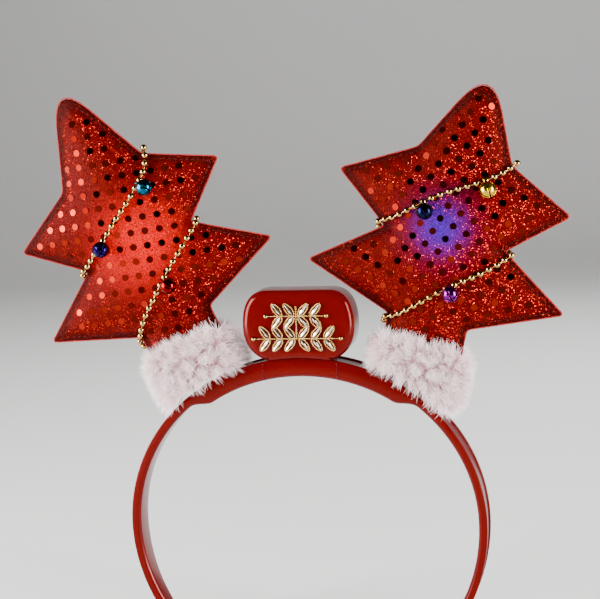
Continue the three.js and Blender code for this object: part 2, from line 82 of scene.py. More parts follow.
# Light box
BOX_HALF_WIDTH = 25
BOX_HEIGHT = 30
BOX_DEPTH = 18
BOX_TOP_HALF_WIDTH = 14
BOX_FOOT_HALF_WIDTH = 15
BOX_EDGE_ROUNDING = 3.5
BOX_WAIST_HEIGHT = 14

# Gold ornament on the box
ORNAMENT_ROW_PITCH = 10
ORNAMENT_ROWS = ((15, ORNAMENT_ROW_PITCH, 2), (21, 0, 3))  # half width, height and pairs of leaves
ORNAMENT_LEAF_LENGTH = 7
ORNAMENT_LEAF_WIDTH = 3.6
ORNAMENT_BALL_RADIUS = 1.5

# Trees
LOWER_TIP_HEIGHT = 46.5
UPPER_TIP_HEIGHT = 88.5
LOWER_HALF_WIDTH = 57
UPPER_HALF_WIDTH = 51
TRUNK_HALF_WIDTH = 17.5
TRUNK_TOP_HEIGHT = 31
LOWER_NOTCH_HALF_WIDTH = 26.5
LOWER_NOTCH_HEIGHT = 68
UPPER_NOTCH_HALF_WIDTH = 20.5
UPPER_NOTCH_HEIGHT = 104.5
TRUNK_FOOT_HEIGHT = 1.5
TOP_ROUNDING = 22
TREE_THICKNESS = 14
SEAM_LIP_WIDTH = 2
SEAM_LIP_THICKNESS = 1.2
CLOTH_STEP = 2.0
STUFFING_FRAMES = 20

# Glow of the lamps behind the cloth
RED_GLOW_RADIUS = 36
BLUE_GLOW_RADIUS = 18
VIOLET_HALO_RADIUS = 30

# Foil dots on the cloth
DOT_PITCH = 6.42
DOT_RADIUS = 1.5

# Bead strings and bells
BEAD_RADIUS = 1.5
BEAD_PITCH = 4
THREAD_RADIUS = 0.35
STRING_GAP = 0.15
BELL_RADIUS = 3.65
BELL_RING_RADIUS = 1.25
BELL_WIRE_RADIUS = 0.3
BELL_SLOT_WIDTH = 0.64

# Fur cuffs
CUFF_HEIGHT = 20
CUFF_BACKING_HALF_WIDTH = 19
CUFF_BACKING_HALF_DEPTH = 10
CUFF_DROP = 3.5
SLEEVE_HALF_DEPTH = 5.2
FUR_LENGTH = 6.5
HAIRS_PER_SQUARE_MM = 7.6

TREES = {
    "left": {
        "top_corner": 152,
        "top_drift": -2,
        "seat_angle": math.radians(-33.5),
        "lean": math.radians(-24),
        "glow_at": (2.3, 69.6),
        "dot_at": (1.7, 74.9),
        "dot_turn": math.radians(16.5),
        "fur_gap": 2.6,
        "fur_seed": 5,
        "bells": {
            "bell_teal": {"near": (15.5, 46.5), "lift": 32},
            "bell_navy": {"near": (-12.5, 30), "lift": 62},
            "bell_red": {"near": (4, 2.5), "lift": 40},
        },
    },
    "right": {
        "top_corner": 146,
        "top_drift": 5,
        "seat_angle": math.radians(37.5),
        "lean": math.radians(13.5),
        "glow_at": (-2.0, 73.1),
        "dot_at": (-2.7, 77.1),
        "dot_turn": math.radians(19.5),
        "fur_gap": 4.2,
        "fur_seed": 9,
        "bells": {
            "bell_gold": {"near": (12.5, 50.5), "lift": 32},
            "bell_dark_blue": {"near": (-11, 36), "lift": 32},
            "bell_violet": {"near": (6, 2), "lift": 62},
        },
    },
}

# Routes of the bead strings: across, up from the lower tips, and the face they lie on
FRONT, EDGE, BACK = -1, 0, 1
AT_UPPER_NOTCH = (UPPER_NOTCH_HALF_WIDTH + 2.1, UPPER_NOTCH_HEIGHT - LOWER_TIP_HEIGHT + 2, EDGE)
AT_LOWER_NOTCH = (LOWER_NOTCH_HALF_WIDTH + 3.8, LOWER_NOTCH_HEIGHT - LOWER_TIP_HEIGHT + 0.1, EDGE)
AT_OTHER_NOTCH = (-AT_LOWER_NOTCH[0], AT_LOWER_NOTCH[1], EDGE)
AT_TRUNK = (-TRUNK_HALF_WIDTH - 2.5, TRUNK_TOP_HEIGHT - LOWER_TIP_HEIGHT - 3, EDGE)
STRING_ROUTES = {
    "left": [
        (16, 52, BACK), AT_UPPER_NOTCH, (19.8, 51.5, FRONT), (12.6, 45.2, FRONT), (5, 40.2, FRONT),
        (-2.5, 36, FRONT), (-10.2, 31.3, FRONT), (-18.5, 27, FRONT), (-24.4, 23.8, FRONT),
        AT_OTHER_NOTCH, (-24, 19, BACK), (0, 19.8, BACK), (24, 19.6, BACK), AT_LOWER_NOTCH,
        (24.4, 16.4, FRONT), (17.5, 11.6, FRONT), (10.6, 7, FRONT), (3.5, 2, FRONT), (-3.2, -3, FRONT),
        (-10, -7.9, FRONT), (-15.5, -13, FRONT), AT_TRUNK, (-12, -21, BACK),
    ],
    "right": [
        (16, 52, BACK), AT_UPPER_NOTCH, (18.2, 55, FRONT), (11.2, 49.9, FRONT), (4.5, 46, FRONT),
        (-2.4, 42.1, FRONT), (-9.3, 37.6, FRONT), (-15.2, 32.9, FRONT), (-21.8, 27.5, FRONT),
        AT_OTHER_NOTCH, (-24, 19, BACK), (0, 19.8, BACK), (24, 19.6, BACK), AT_LOWER_NOTCH,
        (24.8, 15.8, FRONT), (17.6, 9.9, FRONT), (11, 5.4, FRONT), (3.5, -0.3, FRONT), (-3, -6, FRONT),
        (-9.3, -11.5, FRONT), (-14.5, -15.6, FRONT), AT_TRUNK, (-12, -21, BACK),
    ],
}


# Node trees and materials

class Wiring:
    """A node tree that is being wired."""

    def __init__(self, tree):
        self.tree = tree

    def feed(self, node, inputs):
        """Link or set a node's inputs; a socket is linked."""
        for key, value in inputs.items():
            if isinstance(value, bpy.types.NodeSocket):
                self.tree.links.new(value, node.inputs[key])
            else:
                node.inputs[key].default_value = value
        return node

    def add(self, kind, inputs=None, **settings):
        """New node with its settings and inputs."""
        node = self.tree.nodes.new(kind)
        for name, value in settings.items():
            setattr(node, name, value)
        return self.feed(node, inputs or {})

    def out(self, output, kind, inputs=None, **settings):
        """One output of a new node."""
        return self.add(kind, inputs, **settings).outputs[output]

    def math(self, operation, *values):
        """Result of a sum on plain values."""
        return self.out(0, "ShaderNodeMath", dict(enumerate(values)), operation=operation)

    def vector(self, operation, *values, output="Vector"):
        """Result of a sum on vectors; the second value of SCALE is a plain one."""
        keys = (0, "Scale") if operation == "SCALE" else range(len(values))
        return self.out(output, "ShaderNodeVectorMath", dict(zip(keys, values)), operation=operation)

    def here(self):
        """Place on the object, in metres."""
        return self.out("Object", "ShaderNodeTexCoord")


class Look(Wiring):
    """A Principled material that is being wired."""

    def __init__(self, name, colour, roughness, values=None):
        self.material = bpy.data.materials.new(name)
        self.material.use_nodes = True
        self.material.diffuse_color = (*colour, 1)
        super().__init__(self.material.node_tree)
        self.show({"Base Color": (*colour, 1), "Roughness": roughness, **(values or {})})

    def show(self, inputs):
        """Link or set the shader's own inputs; gives the material."""
        self.feed(self.tree.nodes["Principled BSDF"], inputs)
        return self.material

    def mix(self, share, first, second):
        """Colour between two, each a socket or its red, green and blue."""
        first, second = (c if isinstance(c, bpy.types.NodeSocket) else (*c, 1) for c in (first, second))
        return self.out(2, "ShaderNodeMix", {0: share, 6: first, 7: second}, data_type="RGBA")

    def ranged(self, value, low, high, inputs=None):
        """The value brought to the range from low to high."""
        return self.out("Result", "ShaderNodeMapRange", {
            "Value": value, "To Min": low, "To Max": high, **(inputs or {}),
        })

    def bump(self, height, strength, distance, inputs=None):
        """Normal that is bent by a height."""
        return self.out("Normal", "ShaderNodeBump", {
            "Height": height, "Strength": strength, "Distance": distance, **(inputs or {}),
        })

    def stored(self, name):
        """A value that the mesh carries under this name."""
        return self.out("Fac", "ShaderNodeAttribute", attribute_name=name)

    def noise(self, scale, inputs=None):
        """Soft noise over the object."""
        return self.out("Fac", "ShaderNodeTexNoise", {
            "Vector": self.here(), "Scale": scale, **(inputs or {}),
        })


class Group(Wiring):
    """A node group that is being wired; an input comes with its start value or its kind of socket."""

    KINDS = {float: "Float", int: "Int", tuple: "Vector"}

    def __init__(self, name, kind, inputs, outputs):
        super().__init__(bpy.data.node_groups.new(name, kind))
        for way, sockets in (("INPUT", inputs), ("OUTPUT", outputs)):
            for label, value in sockets.items():
                named = isinstance(value, str)
                word = value if named else self.KINDS[type(value)]
                socket = self.tree.interface.new_socket(label, in_out=way, socket_type=f"NodeSocket{word}")
                if not named:
                    socket.default_value = value
        self.given = self.tree.nodes.new("NodeGroupInput").outputs
        self.result = self.tree.nodes.new("NodeGroupOutput")

    def done(self, outputs):
        """Link the group's outputs; gives the group."""
        self.feed(self.result, outputs)
        return self.tree


class Growth(Group):
    """A geometry tree that is being wired: it grows things on a base mesh, in a material."""

    def __init__(self, name, inputs):
        sockets = {"Geometry": "Geometry", **inputs, "Material": "Material"}
        super().__init__(name, "GeometryNodeTree", sockets, {"Geometry": "Geometry"})

    def spaced(self):
        """The base's edges as a curve, and points along it that are a pitch apart."""
        line = self.out("Curve", "GeometryNodeMeshToCurve", {"Mesh": self.given["Geometry"]})
        even = self.out("Curve", "GeometryNodeResampleCurve", {
            "Curve": line, "Length": self.given["Pitch"],
        }, mode="LENGTH")
        return line, self.add("GeometryNodeCurveToPoints", {"Curve": even}, mode="EVALUATED").outputs

    def spread(self, points, thing, rotation, inputs=None):
        """Copies of a thing on points."""
        return self.out("Instances", "GeometryNodeInstanceOnPoints", {
            "Points": points, "Instance": thing, "Rotation": rotation, **(inputs or {}),
        })

    def random(self, output, seed, low, high, kind="FLOAT"):
        """Random value for each thing, between the limits."""
        limits = {"Min": low, "Max": high, "Seed": seed}
        return self.out(output, "FunctionNodeRandomValue", limits, data_type=kind)

    def all_of(self, parts, smooth=False):
        """Ends the tree: the parts joined, with their copies made real, in the material."""
        both = self.add("GeometryNodeJoinGeometry")
        for part in parts:
            self.feed(both, {"Geometry": part})
        shape = self.out("Geometry", "GeometryNodeRealizeInstances", {"Geometry": both.outputs["Geometry"]})
        if smooth:
            shape = self.out("Geometry", "GeometryNodeSetShadeSmooth", {"Geometry": shape})
        return self.done({"Geometry": self.out("Geometry", "GeometryNodeSetMaterial", {
            "Geometry": shape, "Material": self.given["Material"],
        })})


def surface_wear_group():
    """Faint mottling and fine scratches of a handled surface: a mask and a height."""
    group = Group("handling marks", "ShaderNodeTree", {"Scale": 300.0}, {
        "Mottle": "Float", "Height": "Float",
    })
    where = group.here()
    stretched = group.out("Vector", "ShaderNodeMapping", {"Vector": where, "Scale": (1.0, 1.0, 9.0)})
    return group.done({name: group.out("Fac", "ShaderNodeTexNoise", {
        "Vector": spot, "Scale": group.given["Scale"], "Detail": detail,
    }) for name, spot, detail in (("Mottle", where, 4.0), ("Height", stretched, 6.0))})


def glitter_group():
    """Glitter in a knit: a mask of bright flakes, a flake tone, a tilted normal and the knit's height."""
    group = Group("glitter knit", "ShaderNodeTree", {"Flake Scale": 1500.0, "Tilt": 0.9}, {
        "Flakes": "Float", "Tone": "Float", "Normal": "Vector", "Knit": "Float",
    })
    where = group.here()
    cells = group.out("Color", "ShaderNodeTexVoronoi", {"Vector": where, "Scale": group.given["Flake Scale"]})
    lot = group.add("ShaderNodeSeparateColor", {"Color": cells}).outputs
    flakes = group.math("GREATER_THAN", lot["Red"], 0.86)
    leaning = group.vector("SCALE", group.vector("SUBTRACT", cells, (0.5, 0.5, 0.5)), group.given["Tilt"])
    shown = group.vector("SCALE", leaning, flakes)
    normal = group.vector("ADD", group.out("Normal", "ShaderNodeNewGeometry"), shown)
    rows, ribs = (group.out("Fac", "ShaderNodeTexWave", {
        "Vector": where, "Scale": 420.0, "Distortion": 1.5,
    }, bands_direction=way) for way in ("Z", "X"))
    return group.done({
        "Flakes": flakes, "Tone": lot["Green"], "Normal": group.vector("NORMALIZE", normal),
        "Knit": group.math("MULTIPLY", rows, ribs),
    })


def handled(look, wear, scale, tones, gloss, scratches):
    """Ends a look with handling marks: two tones, two roughnesses, and scratches' strength and depth."""
    marks = look.add("ShaderNodeGroup", {"Scale": scale}, node_tree=wear).outputs
    return look.show({
        "Base Color": look.mix(marks["Mottle"], *tones),
        "Roughness": look.ranged(marks["Mottle"], *gloss),
        "Normal": look.bump(marks["Height"], *scratches),
    })


def red_plastic(wear):
    """Deep red moulded plastic with a high gloss."""
    look = Look("red gloss plastic", (0.07, 0.0, 0.0), 0.16, {
        "Specular IOR Level": 0.3, "Specular Tint": (1.0, 0.3, 0.28, 1),
    })
    return handled(look, wear, 220.0, ((0.06, 0.0, 0.0), (0.08, 0.0, 0.0)), (0.1, 0.24), (0.04, 0.0002))


def plated(name, light, dark, wear, roughness):
    """Plated or lacquered metal, darker where it is mottled."""
    look = Look(name, light, roughness, {"Metallic": 1.0})
    return handled(look, wear, 900.0, (dark, light), (roughness * 0.7, roughness * 1.4), (0.08, 0.0001))


def lamp_glow(look, centre, radius):
    """Share of a lamp's light behind the cloth, 1 at its centre and 0 at its radius, in the cloth's plane."""
    around = look.out("Vector", "ShaderNodeMapping", {
        "Vector": look.here(), "Location": (-centre[0], 0.0, -centre[2]), "Scale": (1.0, 0.0, 1.0),
    })
    away = look.vector("LENGTH", around, output="Value")
    return look.out("Result", "ShaderNodeMapRange", {
        "Value": away, "From Min": 0.0, "From Max": radius, "To Min": 1.0, "To Max": 0.0,
    }, interpolation_type="SMOOTHERSTEP")


def glitter_cloth(side, glitter, centre):
    """Red glitter knit with a lamp behind it: red on the left, blue in a violet halo on the right."""
    look = Look(f"glitter cloth {side}", (0.1, 0.0, 0.0), 0.42, {
        "Specular IOR Level": 0.1, "Specular Tint": (1.0, 0.2, 0.16, 1), "Emission Strength": 0.8,
    })
    knit = look.add("ShaderNodeGroup", {"Flake Scale": 2400.0, "Tilt": 1.1}, node_tree=glitter).outputs
    dull = look.mix(knit["Tone"], (0.03, 0.0, 0.0), (0.095, 0.0, 0.0))
    bright = look.mix(knit["Tone"], (0.12, 0.0, 0.0), (0.75, 0.03, 0.012))
    # Painted shade: the cloth colour is darkened to 0.35 where the puff is low, in the seam groove and on the
    # flat lip.
    shade = look.ranged(look.stored("puff"), 0.35, 1.0, {"From Max": 0.24})
    cloth = look.vector("SCALE", look.mix(knit["Flakes"], dull, bright), shade)
    black = (0.0, 0.0, 0.0)
    if side == "left":
        core = look.math("POWER", lamp_glow(look, centre, RED_GLOW_RADIUS * MM), 1.1)
        light = look.mix(core, black, (1.0, 0.0, 0.002))
        lit = look.mix(core, cloth, (0.24, 0.0, 0.0))
    else:
        halo = look.mix(lamp_glow(look, centre, VIOLET_HALO_RADIUS * MM), black, (0.045, 0.0, 0.1))
        core = look.math("POWER", lamp_glow(look, centre, BLUE_GLOW_RADIUS * MM), 0.9)
        light = look.mix(core, halo, (0.11, 0.012, 0.62))
        lit = look.mix(core, cloth, (0.02, 0.002, 0.08))
    sparkle = look.math("MULTIPLY_ADD", knit["Tone"], 1.1, 0.15)
    return look.show({
        "Base Color": lit, "Metallic": knit["Flakes"], "Roughness": look.ranged(knit["Flakes"], 0.5, 0.3),
        "Normal": look.bump(knit["Knit"], 0.35, 0.0004, {"Normal": knit["Normal"]}),
        "Emission Color": look.vector("SCALE", light, sparkle),
    })


def foil_dots():
    """Mirror foil of the dots, each with its own tone from the tone attribute."""
    look = Look("foil dots", (0.3, 0.01, 0.01), 0.12, {"Metallic": 1.0})
    tone = look.stored("dot_tone")
    return look.show({
        "Base Color": look.mix(tone, (0.02, 0.0, 0.0), (0.24, 0.012, 0.004)),
        "Roughness": look.ranged(tone, 0.12, 0.3),
    })


def white_fur():
    """Plush pile, pinkish white at the tips, with painted pinkish shade at the roots where the pile shades
    itself.
    """
    look = Look("white plush", (0.95, 0.9, 0.91), 0.75, {"Sheen Weight": 0.3})
    tips = look.mix(look.noise(160.0, {"Detail": 3.0}), (1.0, 0.9, 0.89), (1.0, 0.96, 0.95))
    # Painted shade: the colour runs from a darker pink at the roots, standing in for the shade deep in the
    # pile, to the white tips.
    return look.show({"Base Color": look.mix(look.stored("tip"), (0.75, 0.45, 0.48), tips)})


def thread(name, dark, light):
    """Matt sewing thread with a twist of two tones."""
    look = Look(name, light, 0.6, {"Specular IOR Level": 0.15})
    return look.show({"Base Color": look.mix(look.noise(2200.0), dark, light)})


def pale_floor():
    """Matt floor with faint clouds."""
    look = Look("pale floor", (0.72, 0.71, 0.7), 0.7)
    return look.show({"Base Color": look.mix(look.noise(3.0), (0.7, 0.69, 0.68), (0.74, 0.73, 0.72))})


# Meshes

def piece_of(name, mesh, material=None):
    """Object at the origin that shows a mesh."""
    piece = bpy.data.objects.new(name, mesh)
    bpy.context.scene.collection.objects.link(piece)
    if material:
        mesh.materials.append(material)
    return piece


def mesh_of(name, points, faces, smooth=True):
    """Mesh from points in millimetres."""
    mesh = bpy.data.meshes.new(name)
    mesh.from_pydata([tuple(c * MM for c in point) for point in points], [], faces)
    mesh.validate()
    if smooth:
        mesh.shade_smooth()
    return mesh


def facing_out(mesh):
    """The closed mesh with its faces turned to point out."""
    work = bmesh.new()
    work.from_mesh(mesh)
    bmesh.ops.recalc_face_normals(work, faces=work.faces)
    if work.calc_volume(signed=True) < 0:
        bmesh.ops.reverse_faces(work, faces=work.faces)
    work.to_mesh(mesh)
    work.free()
    return mesh


def loop_faces(rows, sides, joined=False):
    """Faces between rows of points that each run round; joined rows also run on from last to first."""
    faces = []
    for row in range(rows if joined else rows - 1):
        after = (row + 1) % rows
        for side in range(sides):
            turn = (side + 1) % sides
            faces.append((row * sides + side, row * sides + turn, after * sides + turn, after * sides + side))
    return faces


def skin(name, rings):
    """Closed smooth mesh through rings that have the same count of points."""
    sides = len(rings[0])
    points = [tuple(point) for ring in rings for point in ring]
    faces = loop_faces(len(rings), sides)
    for row in (0, len(rings) - 1):
        middle = np.mean(np.array(points[row * sides:(row + 1) * sides]), axis=0)
        points.append(tuple(middle))
        hub = len(points) - 1
        faces += [(row * sides + side, row * sides + (side + 1) % sides, hub) for side in range(sides)]
    return facing_out(mesh_of(name, points, faces))


def finished(obj):
    """Plain mesh of an object with its modifiers applied, put back on it."""
    graph = bpy.context.evaluated_depsgraph_get()
    mesh = bpy.data.meshes.new_from_object(obj.evaluated_get(graph), depsgraph=graph)
    obj.modifiers.clear()
    obj.data = mesh
    return obj


def grown(name, base, tree, **values):
    """Plain mesh object that a geometry tree makes from a base mesh; values go to its named inputs."""
    obj = piece_of(name, base)
    modifier = obj.modifiers.new(tree.name, "NODES")
    modifier.node_group = tree
    for item in tree.interface.items_tree:
        key = item.name.lower().replace(" ", "_")
        if item.item_type == "SOCKET" and item.in_out == "INPUT" and key in values:
            modifier[item.identifier] = values[key]
    return finished(obj)


def carved(obj, *cutters):
    """Takes the cutters' shapes out of the object, and removes the cutters."""
    for cutter in cutters:
        cut = obj.modifiers.new("cut", "BOOLEAN")
        cut.operation = "DIFFERENCE"
        cut.solver = "EXACT"
        cut.object = cutter
    finished(obj)
    for cutter in cutters:
        bpy.data.objects.remove(cutter)


def rounded_loop(corners, counts=None, arcs=6, step=1.5):
    """Closed loop round corners (x, z, rounding), with the count of straight steps between them."""
    places = [Vector(corner[:2]) for corner in corners]
    starts, ends = [], []
    for i, corner in enumerate(corners):
        before = (places[i - 1] - places[i]).normalized() * corner[2]
        after = (places[(i + 1) % len(places)] - places[i]).normalized() * corner[2]
        starts.append(places[i] + before)
        ends.append(places[i] + after)
    if counts is None:
        gaps = [(starts[(i + 1) % len(starts)] - ends[i]).length for i in range(len(ends))]
        counts = [max(2, round(gap / step)) for gap in gaps]
    loop = []
    for i, middle in enumerate(places):
        for arc in range(arcs):
            t = arc / arcs
            loop.append(starts[i] * (1 - t) ** 2 + middle * (2 * t * (1 - t)) + ends[i] * t ** 2)
        after = starts[(i + 1) % len(starts)]
        loop += [ends[i].lerp(after, k / counts[i]) for k in range(counts[i])]
    return np.array([tuple(point) for point in loop]), counts


def moved_in(corners, distance):
    """Corners of the outline moved in by a distance; the outline runs clockwise."""
    places = [Vector(corner[:2]) for corner in corners]
    inner = []
    for i, corner in enumerate(corners):
        first = (places[i] - places[i - 1]).normalized()
        second = (places[(i + 1) % len(places)] - places[i]).normalized()
        first_in, second_in = Vector((first.y, -first.x)), Vector((second.y, -second.x))
        shift = (first_in + second_in) / (1 + first_in.dot(second_in))
        inner.append((*(places[i] + shift * distance), max(0.6, corner[2] - distance / 3)))
    return inner


# Band and light box

def band_point(angle):
    """Place on the band's outer curve, by the angle from the crown's middle, and its outward normal."""
    rise = CROWN_RISE if math.cos(angle) > 0 else LEG_CURVE_DROP
    point = Vector((
        BAND_HALF_WIDTH * math.sin(angle), 0, CROWN_THICKNESS - CROWN_RISE + rise * math.cos(angle),
    ))
    normal = Vector((rise * math.sin(angle), 0, BAND_HALF_WIDTH * math.cos(angle)))
    return point, normal.normalized()


def eased(value, low, high):
    """Share of the way from low to high, with a soft start and end."""
    share = min(1, max(0, (value - low) / (high - low)))
    return share * share * (3 - 2 * share)


def band_section(angle, end_angle, grow=0.0, shrink=1.0):
    """Ring of the band's section, with rounded edges; shrink draws it in for a rounded end."""
    point, normal = band_point(angle)
    past_crown = abs(point.x) - (CROWN_HALF_SPAN - SHOULDER_LENGTH)
    leg = eased(past_crown if math.cos(angle) > 0 else SHOULDER_LENGTH, 0, SHOULDER_LENGTH)
    toward_end = eased(abs(angle), math.pi / 2, end_angle)
    half = (BAND_DEPTH + (LEG_END_DEPTH - BAND_DEPTH) * toward_end) / 2 + grow
    bottom = -(CROWN_THICKNESS + (LEG_THICKNESS - CROWN_THICKNESS) * leg) - grow
    rim = half - RIM_WIDTH - 2 * grow
    corners = [
        (-half, bottom + INNER_CHAMFER, 0.5), (-half + INNER_CHAMFER, bottom, 0.5),
        (half - INNER_CHAMFER, bottom, 0.5), (half, bottom + INNER_CHAMFER, 0.5),
        (half, grow, 0.5), (rim, grow, 0.35), (rim, grow - GROOVE_DEPTH, 0.25),
        (-rim, grow - GROOVE_DEPTH, 0.25), (-rim, grow, 0.35), (-half, grow, 0.5),
    ]
    loop, _counts = rounded_loop(corners, counts=[1] * len(corners), arcs=3)
    centre = np.array([0, bottom / 2])
    loop = centre + (loop - centre) * shrink
    return [(point.x + normal.x * out, y, point.z + normal.z * out) for y, out in loop]


def band_rings(grow=0.0, steps=260):
    """Rings of the band from end to end, with both ends rounded."""
    end_angle = math.pi / 2 + math.asin(LEG_LENGTH / LEG_CURVE_DROP)
    reach = end_angle - BAND_END_ROUNDING / BAND_HALF_WIDTH
    caps = []
    for way in (-1, 1):
        for k in range(6):
            angle = way * (end_angle + (reach - end_angle) * k / 5)
            caps.append(band_section(angle, end_angle, grow, 0.55 + 0.45 * math.sin(k / 5 * math.pi / 2)))
    between = [band_section(-reach + 2 * reach * k / steps, end_angle, grow) for k in range(1, steps)]
    return caps[:6] + between + caps[:5:-1]


def arch_cutter(offset):
    """Everything inside the band's outer curve moved out by an offset."""
    segments, half_depth = 160, 50
    rings = []
    for y in (-half_depth, half_depth):
        rings.append([(
            (BAND_HALF_WIDTH + offset) * math.cos(2 * math.pi * k / segments), y,
            CROWN_THICKNESS - CROWN_RISE + (CROWN_RISE + offset) * math.sin(2 * math.pi * k / segments),
        ) for k in range(segments)])
    return piece_of("arch cutter", skin("arch cutter", rings))


def curve_between(start, pull, end, count):
    """Points on a curve that leaves its start and reaches its end as if drawn to the pull."""
    start, pull, end = Vector(start), Vector(pull), Vector(end)
    return [start * (1 - t) ** 2 + pull * (2 * t * (1 - t)) + end * t ** 2
            for t in (k / count for k in range(1, count + 1))]


def band_top(across):
    """Height of the band's outer curve over a place on the crown."""
    return CROWN_THICKNESS - CROWN_RISE + CROWN_RISE * math.sqrt(1 - (across / BAND_HALF_WIDTH) ** 2)


def light_box_mesh():
    """The box as a stack of outlines, drawn in at its rounded front and back edges."""
    inset = BOX_EDGE_ROUNDING
    bottom = CROWN_THICKNESS
    top = bottom + BOX_HEIGHT - inset
    waist = bottom + BOX_WAIST_HEIGHT
    half = BOX_HALF_WIDTH - inset
    foot = BOX_FOOT_HALF_WIDTH - inset
    right = [Vector((x, bottom - inset)) for x in np.linspace(0, foot, 9)]
    right.append(Vector((foot, bottom + inset / 2)))
    right += curve_between(right[-1], (half, bottom + inset), (half, waist), 12)
    right += curve_between((half, waist), (half, top), (BOX_TOP_HALF_WIDTH, top), 14)
    left = [Vector((-p.x, p.y)) for p in reversed(right[1:])]
    loop = right + left
    count = len(loop)
    normals = []
    for i in range(count):
        along = (loop[(i + 1) % count] - loop[i - 1]).normalized()
        normals.append(Vector((along.y, -along.x)))
    arcs = 7
    flat = BOX_DEPTH / 2 - inset
    levels = [(-flat - inset * math.cos(a), inset * math.sin(a)) for a in
              (math.pi / 2 * k / arcs for k in range(arcs + 1))]
    levels += [(-y, out) for y, out in reversed(levels)]
    front, back = ([[(p.x * shrink, face * BOX_DEPTH / 2, waist + (p.y - waist) * shrink) for p in loop]
                    for shrink in (0.3, 0.65)] for face in (-1, 1))
    sides = [[(p.x + n.x * out, y, p.y + n.y * out) for p, n in zip(loop, normals)] for y, out in levels]
    rings = front + sides + back[::-1]
    seated = [[(x, y, max(z, band_top(x) + BAND_GAP)) for x, y, z in ring] for ring in rings]
    return skin("light_box", seated)


# Ornament

def strung_balls_tree():
    """Balls along the edges of a mesh, a pitch apart, on a thread."""
    net = Growth("strung balls", {
        "Pitch": 0.004, "Ball Radius": 0.0015, "Thread Radius": 0.0003, "Segments": 10, "Rings": 6,
    })
    line, dots = net.spaced()
    ball = net.out("Mesh", "GeometryNodeMeshUVSphere", {
        "Segments": net.given["Segments"], "Rings": net.given["Rings"], "Radius": net.given["Ball Radius"],
    })
    balls = net.spread(dots["Points"], ball, dots["Rotation"])
    profile = net.out("Curve", "GeometryNodeCurvePrimitiveCircle", {
        "Resolution": 6, "Radius": net.given["Thread Radius"],
    })
    string = net.out("Mesh", "GeometryNodeCurveToMesh", {
        "Curve": line, "Profile Curve": profile, "Fill Caps": True,
    })
    return net.all_of([balls, string], smooth=True)


def line_mesh(name, lines):
    """Mesh of edges only, from lists of points in millimetres; a line that ends where it starts is closed."""
    points, edges = [], []
    for line in lines:
        closed = (Vector(line[0]) - Vector(line[-1])).length < 1e-6
        kept = line[:-1] if closed else line
        first = len(points)
        points += [tuple(c * MM for c in point) for point in kept]
        edges += [(first + i, first + i + 1) for i in range(len(kept) - 1)]
        if closed:
            edges.append((first + len(kept) - 1, first))
    mesh = bpy.data.meshes.new(name)
    mesh.from_pydata(points, edges, [])
    return mesh


def leaf_places():
    """Root and direction of every leaf, in pairs along the two rows."""
    for half_width, height, pairs in ORNAMENT_ROWS:
        spacing = (half_width - ORNAMENT_BALL_RADIUS) / (pairs + 0.5)
        for way in (-1, 1):
            for pair in range(pairs):
                for up in (-1, 1):
                    angle = math.radians(52) * up
                    root = Vector((way * (pair + 0.2) * spacing, height))
                    yield root, Vector((way * math.cos(angle), math.sin(angle)))


def ornament_pieces(balls, gold, silver):
    """Two sprigs of leaves with beaded edges, lit ribs, stems and ball ends."""
    face = -BOX_DEPTH / 2 - BAND_GAP
    base = CROWN_THICKNESS + BOX_WAIST_HEIGHT - ORNAMENT_ROW_PITCH / 2
    edges, rib_points, rib_faces = [], [], []
    for root, way in leaf_places():
        side = Vector((-way.y, way.x))
        rim = []
        for k in range(25):
            t = 2 * math.pi * k / 24
            along = ORNAMENT_LEAF_LENGTH * (0.5 - 0.5 * math.cos(t)) * 0.92 + 0.3
            out = 0.5 * (ORNAMENT_LEAF_WIDTH - 0.7) * math.sin(t) * (1.15 - 0.3 * (0.5 - 0.5 * math.cos(t)))
            spot = root + way * along + side * out
            rim.append((spot.x, face - 0.55, base + spot.y))
        rim[-1] = rim[0]
        edges.append(rim)
        outline = [(0.12, 0), (0.35, 0.55), (0.8, 0.32), (0.93, 0), (0.8, -0.32), (0.35, -0.55)]
        first = len(rib_points)
        for depth in (-0.1, -0.75):
            for along, out in outline:
                grow = 1.25 if depth > -0.5 else 0.8
                spot = root + way * (ORNAMENT_LEAF_LENGTH * along) + side * (out * 1.35 * grow)
                rib_points.append((spot.x, face + depth, base + spot.y))
        rib_faces += [tuple(first + i for i in face) for face in loop_faces(2, 6)]
        rib_faces.append(tuple(first + i for i in range(6)))
        ridge = root + way * (ORNAMENT_LEAF_LENGTH * 0.5)
        rib_points.append((ridge.x, face - 1.25, base + ridge.y))
        rib_faces += [(first + 6 + i, first + 6 + (i + 1) % 6, first + 12) for i in range(6)]
    stems, finials = [], []
    for half_width, height, _pairs in ORNAMENT_ROWS:
        reach = half_width - ORNAMENT_BALL_RADIUS
        stems.append([(x, face - 0.5, base + height) for x in np.linspace(-reach, reach, 40)])
        for x in (-reach, reach):
            finials.append([(x, face - 0.8, base + height), (x + 0.01, face - 0.8, base + height)])
    stems.append([(0, face - 0.5, z) for z in np.linspace(base, base + ORNAMENT_ROW_PITCH + 4.2, 16)])
    sprigs = grown("ornament_sprigs", line_mesh("sprigs", edges + stems), balls, pitch=0.68 * MM,
                   ball_radius=0.36 * MM, thread_radius=0.2 * MM, segments=7, rings=4, material=gold)
    ends = grown("ornament_ends", line_mesh("ends", finials), balls, pitch=5 * MM,
                 ball_radius=(ORNAMENT_BALL_RADIUS - 0.5) * MM, thread_radius=0.3 * MM, segments=14, rings=9,
                 material=gold)
    ribs = piece_of("ornament_ribs", facing_out(mesh_of("ribs", rib_points, rib_faces, smooth=False)), silver)
    return [sprigs, ends, ribs]


